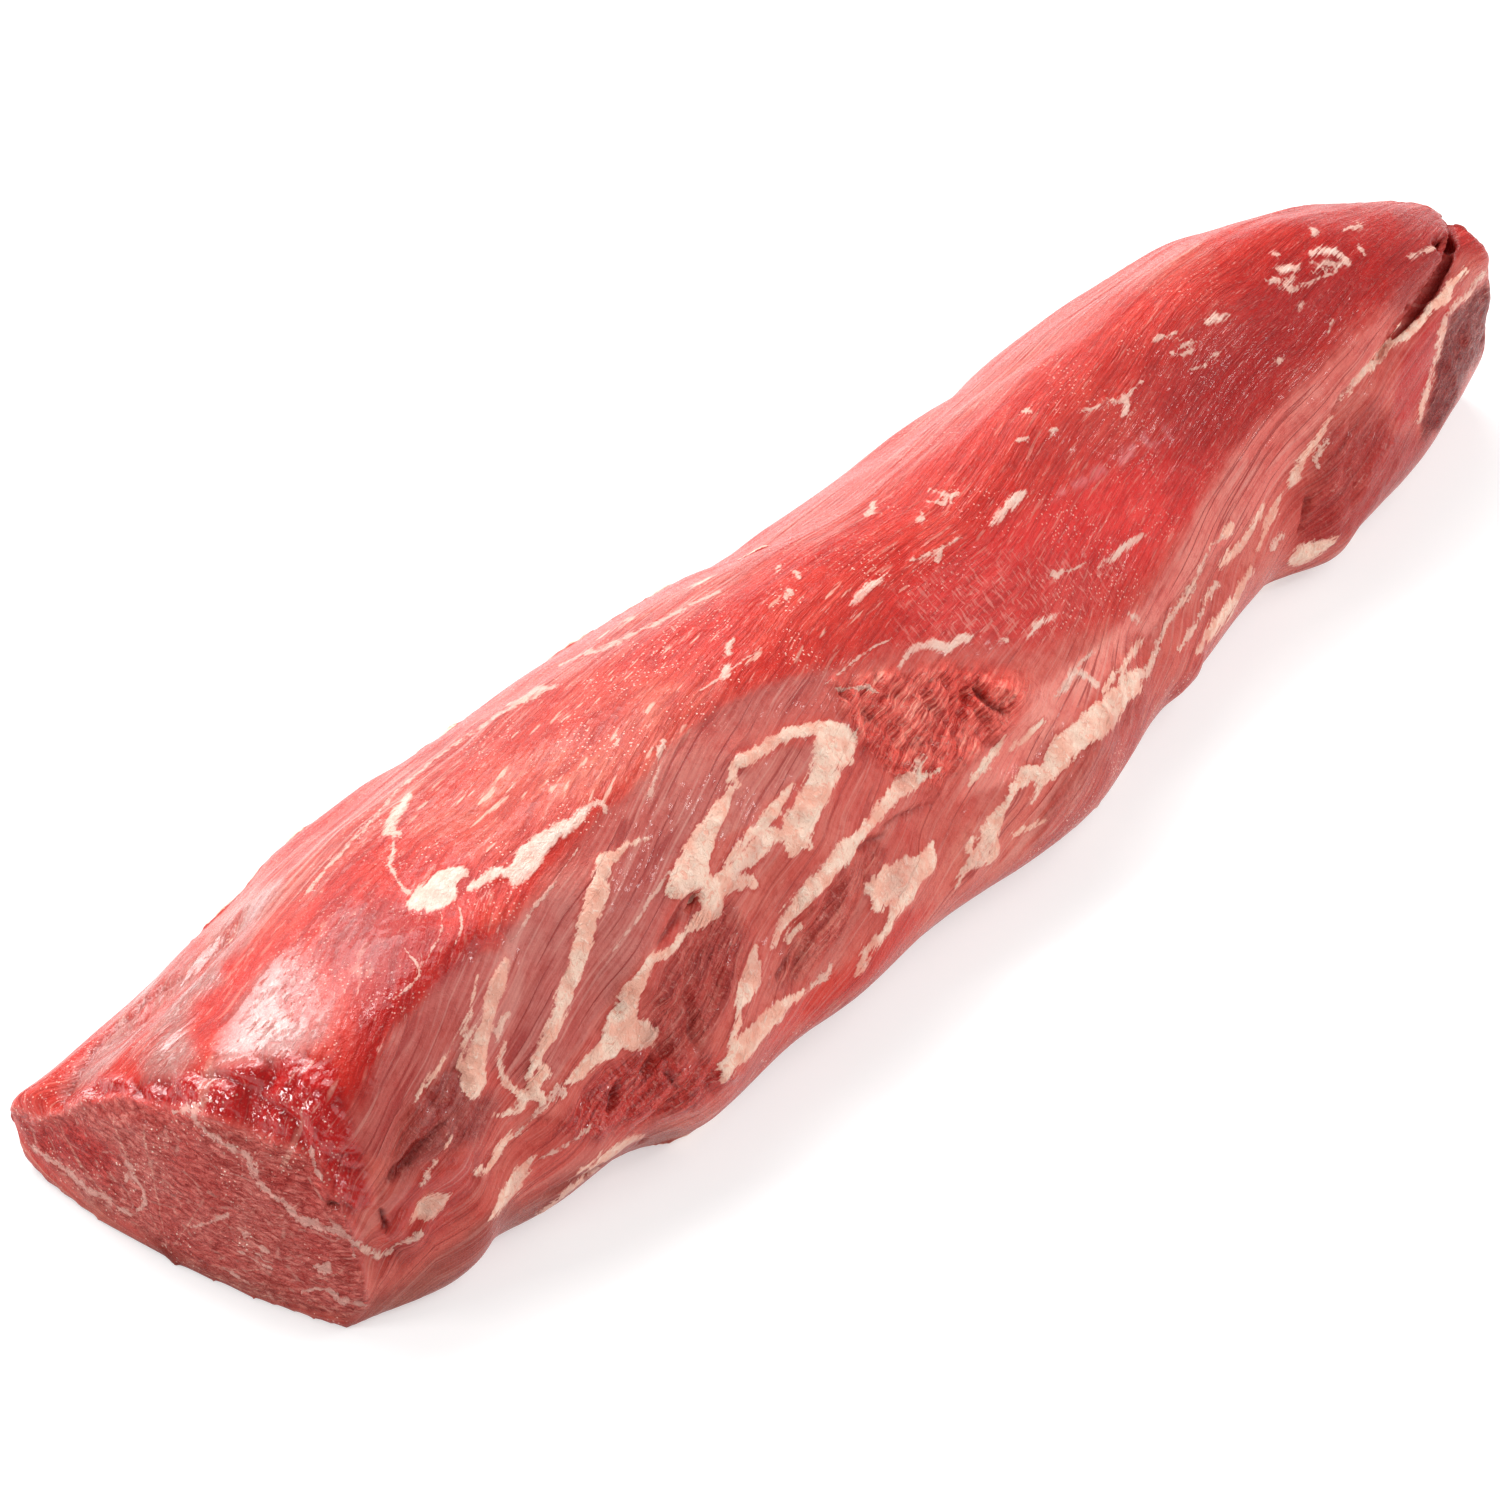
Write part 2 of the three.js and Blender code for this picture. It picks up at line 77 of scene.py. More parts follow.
# Fat on the meat: each line is a row of places in the picture, (x, y, width), in pixels. The fat on the
# side is thick and crumbly, and the fat on top is thin and smooth.
SIDE_FAT = {
    "long strip": [
        (648, 838, 4), (628, 846, 7), (615, 856, 11), (605, 862, 18), (599, 886, 20), (592, 906, 22),
        (585, 925, 18), (582, 945, 17), (575, 965, 17), (567, 988, 16), (559, 1012, 16), (550, 1032, 14),
        (542, 1048, 12), (534, 1065, 10), (529, 1077, 8),
    ],
    "short strip": [
        (505, 963, 9), (497, 982, 14), (489, 1005, 13), (484, 1025, 13), (479, 1045, 14), (473, 1065, 20),
        (473, 1081, 22), (474, 1091, 15),
    ],
    "short strip strand": [(478, 1016, 5), (466, 1041, 8), (460, 1061, 6), (463, 1078, 6)],
    "short strip spur": [(506, 1015, 4), (499, 1028, 6), (494, 1040, 4)],
    "thin vein": [
        (476, 975, 2), (463, 1032, 4), (453, 1051, 5), (439, 1065, 7), (426, 1081, 6), (410, 1107, 3),
    ],
    "hook": [
        (503, 1043, 4), (497, 1058, 6), (499, 1075, 7), (509, 1088, 7), (522, 1094, 8), (539, 1096, 10),
        (546, 1104, 5),
    ],
    "hook knot": [(529, 1078, 9), (533, 1090, 14), (527, 1096, 9)],
    "hook lump": [(542, 1064, 8), (545, 1072, 12), (538, 1083, 9)],
    "hook tail": [(523, 1099, 8), (519, 1108, 8), (509, 1112, 5), (496, 1117, 3)],
    "low strip": [(511, 1135, 6), (502, 1148, 9), (496, 1158, 8), (489, 1167, 7), (480, 1172, 8)],
    "white edge": [(560, 1083, 3), (552, 1096, 4), (543, 1108, 4), (529, 1121, 3), (516, 1134, 3)],
    "crumbly chain": [
        (662, 954, 11), (650, 962, 9), (642, 979, 14), (632, 995, 20), (622, 1015, 28), (615, 1032, 30),
        (607, 1050, 22), (591, 1060, 17), (576, 1075, 11), (565, 1083, 5),
    ],
    "crumbly blob": [(622, 1024, 24), (633, 1035, 34), (645, 1028, 18), (648, 1042, 8)],
    "loop flap": [(561, 1086, 3), (563, 1096, 5)],
    "loop corner": [
        (731, 764, 6), (737, 760, 10), (746, 760, 16), (761, 750, 14), (778, 739, 14), (796, 730, 13),
        (811, 727, 10),
    ],
    "loop left arm": [
        (732, 766, 6), (734, 777, 11), (738, 786, 8), (731, 790, 9), (726, 800, 12), (717, 811, 19),
        (708, 826, 20), (701, 843, 26), (693, 858, 31), (689, 873, 38), (681, 886, 28), (670, 888, 13),
    ],
    "loop crown": [
        (815, 729, 14), (825, 736, 24), (838, 738, 28), (843, 750, 22), (836, 759, 22), (849, 763, 8),
    ],
    "loop right arm": [
        (822, 745, 22), (823, 773, 25), (817, 788, 27), (808, 803, 27), (799, 822, 31), (796, 838, 27),
        (793, 851, 14),
    ],
    "loop inner arm": [
        (793, 786, 8), (781, 799, 10), (772, 812, 13), (760, 827, 13), (749, 836, 11), (738, 850, 8),
        (727, 864, 6),
    ],
    "loop lumps": [
        (784, 836, 14), (767, 834, 21), (761, 845, 23), (749, 858, 18), (735, 866, 15), (722, 875, 11),
    ],
    "loop foot": [(709, 881, 16), (717, 887, 22), (731, 882, 20), (746, 881, 12), (753, 887, 6)],
    "loop heel": [
        (712, 890, 18), (709, 899, 24), (716, 908, 22), (702, 917, 16), (687, 931, 9), (676, 946, 7),
        (664, 953, 12),
    ],
    "loop crumb": [(806, 845, 4), (810, 847, 7)],
    "middle prong": [(918, 756, 4), (913, 772, 9), (903, 782, 14)],
    "middle right prong": [(936, 772, 5), (923, 776, 8), (909, 786, 14)],
    "middle band": [
        (905, 784, 17), (893, 794, 18), (884, 803, 14), (878, 815, 13), (868, 826, 10), (858, 838, 12),
        (846, 849, 19), (834, 864, 18), (822, 879, 18), (808, 890, 18), (796, 902, 14), (787, 914, 12),
        (781, 926, 9), (775, 938, 8), (772, 948, 4),
    ],
    "low blob": [
        (931, 845, 7), (928, 854, 17), (921, 865, 26), (907, 872, 31), (893, 880, 34), (882, 891, 32),
        (877, 905, 16),
    ],
    "low blob tail": [
        (909, 884, 14), (905, 897, 15), (896, 911, 12), (885, 926, 9), (875, 940, 9), (863, 958, 9),
        (855, 974, 4),
    ],
    "foot strip": [
        (754, 948, 5), (752, 963, 14), (750, 981, 19), (743, 996, 17), (735, 1008, 8), (737, 1022, 9),
        (733, 1036, 6),
    ],
    "foot band": [
        (812, 986, 4), (800, 996, 8), (788, 1003, 12), (775, 1017, 17), (758, 1034, 22), (740, 1050, 22),
        (728, 1066, 14), (722, 1080, 6),
    ],
    "foot thread": [(832, 966, 3), (825, 977, 6), (812, 986, 3)],
    "foot fleck": [(798, 925, 5), (789, 934, 7), (786, 943, 3)],
    "low streak": [(642, 1134, 3), (623, 1142, 7), (604, 1155, 9), (590, 1164, 6), (577, 1172, 3)],
    "low wide streak": [(532, 1155, 3), (522, 1169, 11), (510, 1189, 15), (499, 1206, 12), (490, 1220, 5)],
    "low thread": [(590, 1128, 2), (577, 1137, 3), (560, 1147, 3), (540, 1158, 2)],
    "ground thread": [(600, 1168, 2), (573, 1186, 3), (548, 1207, 3), (526, 1224, 2)],
    "near fat rim": [
        (352, 1239, 4), (365, 1250, 5), (380, 1256, 5), (395, 1249, 4), (407, 1240, 4), (418, 1232, 3),
    ],
    "near pad": [(411, 1218, 8), (425, 1208, 18), (436, 1200, 16), (446, 1192, 6)],
    "near fleck": [(449, 1136, 5), (444, 1145, 7), (439, 1151, 4)],
    "near thread": [(434, 1160, 4), (428, 1170, 4), (418, 1183, 3)],
    "right band": [
        (1139, 673, 8), (1130, 680, 21), (1133, 690, 14), (1119, 698, 25), (1106, 712, 28), (1092, 723, 30),
        (1080, 735, 28), (1066, 745, 26), (1056, 759, 25), (1050, 770, 17), (1039, 783, 9), (1030, 804, 3),
    ],
    "right band branch": [
        (1046, 769, 14), (1034, 773, 16), (1022, 774, 15), (1017, 783, 13), (1012, 792, 10), (1007, 803, 8),
        (1001, 812, 12), (995, 823, 18), (989, 835, 18), (983, 847, 14), (976, 858, 17), (965, 870, 9),
        (957, 885, 4),
    ],
    "right band tooth": [(971, 838, 4), (967, 848, 8), (972, 860, 10)],
    "right band lobe": [(995, 838, 8), (993, 853, 10), (985, 862, 5)],
    "right low streak": [(1046, 819, 3), (1034, 825, 6), (1022, 830, 7), (1012, 838, 5)],
    "right inner streak": [(1144, 638, 3), (1135, 650, 7), (1124, 662, 7), (1112, 679, 6), (1103, 692, 4)],
    "right edge streak": [(1156, 650, 3), (1150, 662, 5), (1142, 677, 6)],
    "right pale strip": [(1002, 737, 4), (995, 750, 10), (986, 762, 12), (977, 773, 8), (970, 783, 3)],
    "right pale fleck": [(1043, 722, 4), (1030, 732, 7), (1018, 741, 8), (1009, 751, 4)],
    "torn ledge": [(875, 692, 3), (865, 687, 3), (850, 687, 2), (838, 690, 2)],
    "seam fleck": [(1231, 524, 4), (1228, 532, 8), (1222, 538, 4)],
    "seam thread": [
        (1222, 538, 2), (1211, 546, 2), (1202, 563, 3), (1193, 586, 3), (1185, 599, 6), (1177, 609, 4),
        (1170, 620, 3), (1162, 632, 3), (1154, 645, 3),
    ],
    "seam streak": [
        (1262, 505, 3), (1255, 519, 6), (1248, 530, 5), (1241, 541, 5), (1235, 549, 8), (1226, 559, 8),
        (1217, 566, 5),
    ],
    "seam second": [(1281, 491, 3), (1276, 506, 6), (1268, 520, 8), (1261, 536, 5), (1256, 551, 3)],
    "seam third": [
        (1215, 584, 4), (1210, 592, 3), (1204, 604, 3), (1196, 624, 4), (1187, 637, 3), (1179, 648, 2),
    ],
    "far wide streak": [
        (1251, 567, 5), (1244, 580, 9), (1236, 595, 10), (1227, 607, 10), (1217, 622, 10), (1206, 637, 8),
        (1196, 652, 6),
    ],
    "far seam fat": [
        (1331, 415, 3), (1321, 431, 7), (1311, 445, 8), (1302, 457, 9), (1292, 479, 9), (1288, 486, 5),
    ],
    "far loop": [(1327, 440, 3), (1318, 452, 4), (1315, 462, 4), (1319, 468, 2)],
    "far lip": [
        (1467, 269, 4), (1459, 277, 6), (1450, 287, 10), (1446, 295, 11), (1435, 306, 10), (1423, 318, 9),
        (1411, 328, 9), (1399, 338, 10), (1384, 348, 9), (1372, 362, 9), (1358, 377, 7), (1343, 401, 3),
    ],
    "far crease": [
        (1485, 271, 3), (1471, 287, 3), (1457, 303, 3), (1447, 316, 3), (1442, 331, 4), (1437, 355, 5),
        (1428, 381, 3), (1423, 403, 4), (1418, 422, 3),
    ],
    "ground lobe": [(1340, 533, 4), (1328, 541, 9), (1316, 546, 14), (1303, 553, 16), (1292, 561, 12)],
    "ground fleck": [(1281, 533, 3), (1276, 541, 5), (1272, 549, 3)],
}
TOP_FAT = {
    "bright strip": [
        (596, 803, 6), (586, 812, 10), (572, 822, 11), (556, 833, 17), (541, 846, 22), (527, 859, 24),
        (517, 873, 19), (514, 881, 8),
    ],
    "bright strip left": [(513, 872, 10), (495, 872, 13), (483, 880, 11), (470, 888, 9)],
    "bright blob": [(466, 872, 7), (451, 877, 19), (438, 886, 27), (424, 895, 24), (412, 903, 12)],
    "bright blob foot": [(452, 893, 16), (436, 902, 16), (418, 908, 6)],
    "bright end": [(596, 803, 5), (604, 806, 4), (606, 813, 3)],
    "tick": [(409, 797, 4), (402, 806, 8), (395, 817, 11), (389, 828, 11), (385, 834, 6)],
    "tick foot": [(392, 832, 6), (400, 833, 4)],
    "tick trail": [(395, 838, 2), (393, 850, 2), (388, 864, 2), (398, 880, 2), (408, 890, 3)],
    "right fleck": [
        (908, 653, 7), (918, 647, 9), (933, 644, 9), (945, 650, 11), (957, 641, 9), (968, 638, 9),
    ],
    "right fleck tail": [(909, 654, 3), (898, 666, 2)],
    "hooked fleck": [(1062, 691, 5), (1071, 679, 7), (1078, 672, 8), (1086, 677, 8), (1095, 684, 7)],
    "hooked fleck foot": [(1066, 684, 4), (1054, 698, 2)],
    "hooked fleck thread": [(1075, 671, 2), (1083, 661, 2), (1092, 652, 2)],
    "small fleck": [(1054, 614, 4), (1043, 621, 8), (1034, 628, 6), (1027, 636, 2)],
    "long fleck": [
        (1143, 535, 3), (1135, 538, 5), (1125, 544, 8), (1116, 553, 8), (1107, 561, 5), (1100, 567, 2),
    ],
    "bar fleck": [(1026, 493, 7), (1017, 500, 12), (1006, 509, 8), (992, 524, 5)],
    "left bar fleck": [(889, 574, 4), (875, 585, 8), (863, 594, 7), (851, 604, 3)],
    "dot": [(1053, 573, 6), (1056, 575, 6)],
    "dot thread": [(1058, 573, 1), (1070, 570, 2), (1083, 564, 1)],
    "low dot": [(1001, 640, 4), (1006, 640, 3)],
    "crossed fleck": [(1130, 615, 2), (1135, 618, 4), (1138, 622, 4)],
    "left knot": [(664, 742, 4), (661, 749, 6), (659, 754, 3)],
    "left knot thread": [(661, 752, 2), (656, 773, 2), (648, 798, 2)],
    "upper tick": [(733, 640, 3), (727, 646, 3), (728, 653, 6)],
    "lower tick": [(727, 664, 5), (725, 674, 8), (722, 681, 4)],
    "star": [(1124, 394, 5), (1126, 402, 9), (1124, 410, 6), (1123, 416, 3)],
    "star arm": [(1105, 399, 2), (1115, 402, 3), (1126, 402, 4)],
    "star upper arm": [(1126, 398, 4), (1132, 390, 2), (1141, 382, 2)],
    "star left arm": [(1105, 400, 1), (1095, 408, 2), (1080, 412, 2)],
    "far top fleck": [(1228, 315, 4), (1217, 319, 7), (1207, 323, 5)],
    "far patch left": [(1275, 253, 3), (1277, 256, 4)],
    "far patch": [(1277, 268, 3), (1283, 269, 8), (1292, 267, 9), (1298, 265, 5)],
    "far patch ring": [(1276, 279, 4), (1268, 281, 3)],
    "far patch ring low": [(1279, 287, 3), (1286, 283, 6), (1291, 278, 4)],
    "far bridge": [(1311, 256, 5), (1320, 252, 8), (1331, 253, 8), (1340, 257, 6), (1347, 264, 6)],
    "far bridge low": [(1310, 262, 3), (1318, 267, 5), (1327, 264, 4), (1337, 267, 4), (1345, 263, 3)],
    "far line": [(1300, 284, 2), (1316, 279, 2), (1336, 272, 2)],
    "far line ticks": [(1293, 291, 2), (1298, 286, 3), (1287, 290, 2)],
    "far upper tick": [(1313, 229, 3), (1316, 234, 5)],
    "far upper line": [(1342, 232, 2), (1351, 227, 2), (1362, 227, 2)],
    "far upper dash": [(1360, 247, 3), (1363, 253, 2)],
    "wavy thread": [(1152, 343, 2), (1158, 337, 3), (1168, 336, 2), (1176, 333, 2)],
    "wavy second": [(1181, 347, 2), (1190, 342, 3), (1191, 351, 3), (1182, 355, 2), (1172, 352, 2)],
    "wavy third": [(1192, 369, 2), (1204, 367, 2), (1208, 358, 2), (1218, 353, 2)],
    "far dot": [(1236, 347, 3), (1238, 347, 2)],
    "far low dot": [(1278, 361, 4), (1283, 357, 3)],
    "far tick": [(1300, 302, 3), (1298, 307, 3)],
    "far second tick": [(1333, 322, 2), (1328, 334, 2)],
    "back patch": [(545, 690, 5), (533, 696, 7), (520, 703, 5), (508, 707, 3)],
    "back upper patch": [(640, 611, 3), (624, 620, 8), (609, 630, 5), (597, 640, 3)],
    "back far patch": [(729, 561, 4), (714, 572, 8), (702, 580, 5), (690, 587, 3)],
    "network": [(930, 489, 2), (940, 493, 3), (950, 498, 6), (958, 494, 2)],
    "network leg": [(948, 498, 3), (944, 505, 2), (930, 502, 2)],
    "network second": [(918, 519, 2), (924, 518, 3), (921, 512, 1)],
    "top dot": [(873, 504, 3), (873, 511, 5), (866, 515, 2), (880, 514, 3)],
    "upper dots": [(789, 592, 6), (786, 597, 4)],
    "upper dots second": [(795, 572, 4), (799, 577, 2)],
    "upper dots third": [(779, 567, 3), (776, 571, 2)],
    "mid dash": [(942, 549, 3), (936, 560, 4)],
    "mid dash thread": [(960, 538, 1), (948, 546, 2), (930, 553, 2), (912, 561, 1)],
    "far speck": [(1024, 412, 3), (1029, 413, 3)],
    "far speck second": [(1051, 433, 4), (1056, 431, 2)],
    "far speck third": [(1018, 440, 3), (1025, 438, 4)],
    "slit ridge": [(1409, 255, 3), (1422, 251, 4), (1434, 247, 3)],
}
TOP_THREADS = {
    "dome thread": [(441, 913, 1), (443, 928, 2), (434, 944, 2), (426, 960, 1)],
    "dome second thread": [(405, 950, 1), (417, 961, 2), (420, 973, 2), (410, 985, 2), (396, 996, 1)],
    "dome third thread": [(458, 905, 1), (462, 925, 2), (455, 945, 1)],
    "back thread": [
        (300, 900, 2), (345, 850, 2), (395, 795, 2), (440, 755, 2), (500, 715, 3), (560, 685, 2),
    ],
    "back second thread": [(560, 665, 2), (610, 645, 3), (660, 620, 2), (720, 590, 2)],
    "top long thread": [(700, 690, 1), (735, 668, 2), (760, 650, 1)],
    "edge thread": [(828, 683, 1), (860, 655, 2), (890, 640, 1)],
    "film pale line": [(513, 940, 1), (535, 905, 3), (556, 880, 2), (577, 850, 1)],
    "film second pale line": [(608, 960, 1), (640, 915, 2), (668, 872, 2)],
}

# Lines of the same kind on the near cut face: veins in it, and its wet rim.
FACE_VEINS = {
    "long vein": [
        (205, 1133, 3), (214, 1137, 4), (233, 1149, 4), (248, 1158, 6), (257, 1174, 6), (263, 1189, 4),
        (285, 1201, 3), (297, 1217, 5), (318, 1226, 6), (340, 1232, 6), (352, 1240, 4),
    ],
    "left knot": [(128, 1162, 4), (132, 1172, 8), (126, 1180, 3)],
    "left branch": [(132, 1176, 3), (142, 1190, 2), (146, 1203, 3), (136, 1211, 2)],
    "left rim": [
        (30, 1145, 3), (48, 1158, 3), (61, 1166, 3), (77, 1181, 4), (101, 1195, 4), (119, 1208, 3),
        (136, 1217, 2),
    ],
    "cross vein": [(196, 1226, 2), (212, 1220, 3), (227, 1216, 3)],
    "spot": [(238, 1229, 3), (245, 1235, 5)],
    "low thread": [(252, 1243, 2), (262, 1248, 3), (270, 1254, 2)],
    "low second thread": [(240, 1252, 2), (258, 1262, 2), (272, 1268, 2)],
    "right spot": [(317, 1266, 4), (325, 1270, 8), (329, 1264, 3)],
    "foot vein": [
        (304, 1292, 2), (315, 1288, 2), (330, 1289, 3), (340, 1298, 4), (352, 1303, 3), (364, 1304, 3),
    ],
    "foot second": [(222, 1268, 2), (236, 1276, 2), (250, 1284, 2)],
    "rim top": [(176, 1112, 3), (188, 1111, 5), (200, 1106, 5), (212, 1100, 3)],
    "rim top drop": [(199, 1108, 3), (197, 1122, 3), (204, 1131, 2)],
    "right short": [(311, 1150, 3), (314, 1168, 2), (322, 1178, 2)],
    "corner short": [(351, 1240, 3), (354, 1256, 2)],
}
FACE_RIM = {
    "upper rim": [
        (75, 1108, 5), (100, 1098, 8), (130, 1098, 9), (172, 1110, 10), (214, 1118, 9), (250, 1132, 10),
        (290, 1150, 9), (318, 1162, 10), (328, 1190, 9), (345, 1216, 12),
    ],
    "corner": [(345, 1216, 12), (356, 1240, 9), (362, 1275, 7), (364, 1300, 5)],
    "left rim": [(14, 1108, 6), (40, 1120, 8), (75, 1108, 6)],
}

# Grooves and holes: how deep each is, in millimetres, and its line.
GROOVES = {
    "big crevice": (1.0, [(691, 893, 6), (684, 905, 12), (676, 918, 11), (668, 930, 8), (657, 945, 4)]),
    "near crevice": (1.5, [
        (388, 1178, 6), (396, 1168, 10), (405, 1160, 7), (415, 1147, 11), (424, 1139, 8), (437, 1129, 7),
        (448, 1122, 3),
    ]),
    "dome fold": (0.7, [(487, 925, 2), (503, 928, 3), (512, 937, 3), (504, 947, 3)]),
    "torn hole": (2.0, [(976, 688, 6), (980, 696, 10), (989, 704, 11), (1000, 711, 9), (1007, 715, 4)]),
    "torn left hole": (1.6, [(838, 687, 4), (843, 692, 8), (849, 697, 5)]),
    "torn pit": (1.2, [(865, 711, 5), (871, 718, 7)]),
    "torn crack": (1.0, [(880, 700, 3), (893, 690, 4), (901, 683, 3)]),
    "torn second crack": (1.1, [(925, 690, 3), (922, 703, 4), (935, 712, 4), (944, 722, 4)]),
    "red crease": (1.2, [(884, 827, 4), (899, 817, 6), (915, 810, 6), (931, 803, 3)]),
    "band hollow": (1.3, [(861, 849, 6), (873, 840, 10), (884, 832, 6)]),
    "low crease": (1.3, [(777, 977, 5), (786, 958, 8), (796, 944, 5)]),
    "foot slot": (2.2, [(615, 1086, 4), (611, 1098, 8), (607, 1110, 8)]),
    "foot second slot": (1.8, [(650, 1058, 6), (641, 1073, 9)]),
    "foot third slot": (1.4, [(664, 1072, 6), (675, 1083, 8)]),
    "flap fold": (0.9, [(528, 1123, 3), (541, 1119, 4), (553, 1120, 3)]),
    "far slit": (1.5, [
        (1450, 260, 9), (1442, 270, 13), (1430, 289, 14), (1411, 313, 11), (1399, 328, 8), (1385, 345, 5),
        (1370, 362, 4), (1350, 386, 3), (1330, 416, 2),
    ]),
    "far hole": (2.4, [(1437, 239, 9), (1444, 243, 15), (1451, 247, 11)]),
    "corner hole": (2.2, [(329, 1204, 6), (337, 1207, 7)]),
    "corner second hole": (1.8, [(381, 1212, 7), (387, 1226, 9)]),
    "left seam": (1.1, [
        (61, 1103, 5), (75, 1081, 5), (96, 1049, 5), (118, 1027, 4), (137, 1010, 4), (160, 993, 3),
        (180, 978, 2),
    ]),
    "far nick": (1.8, [(1308, 498, 4), (1305, 514, 6), (1300, 531, 4)]),
    "film crack": (0.5, [(546, 942, 2), (558, 924, 2), (569, 908, 2)]),
    "film second crack": (0.4, [(582, 1000, 2), (595, 982, 2), (603, 968, 2)]),
    "film third crack": (0.5, [(1205, 512, 1), (1232, 478, 2), (1262, 442, 1)]),
    "ground fold": (1.2, [(545, 1196, 3), (575, 1180, 4), (610, 1163, 4), (645, 1140, 3)]),
    "lobe fold": (0.8, [(1140, 645, 2), (1165, 615, 3), (1200, 575, 3), (1230, 545, 2)]),
}

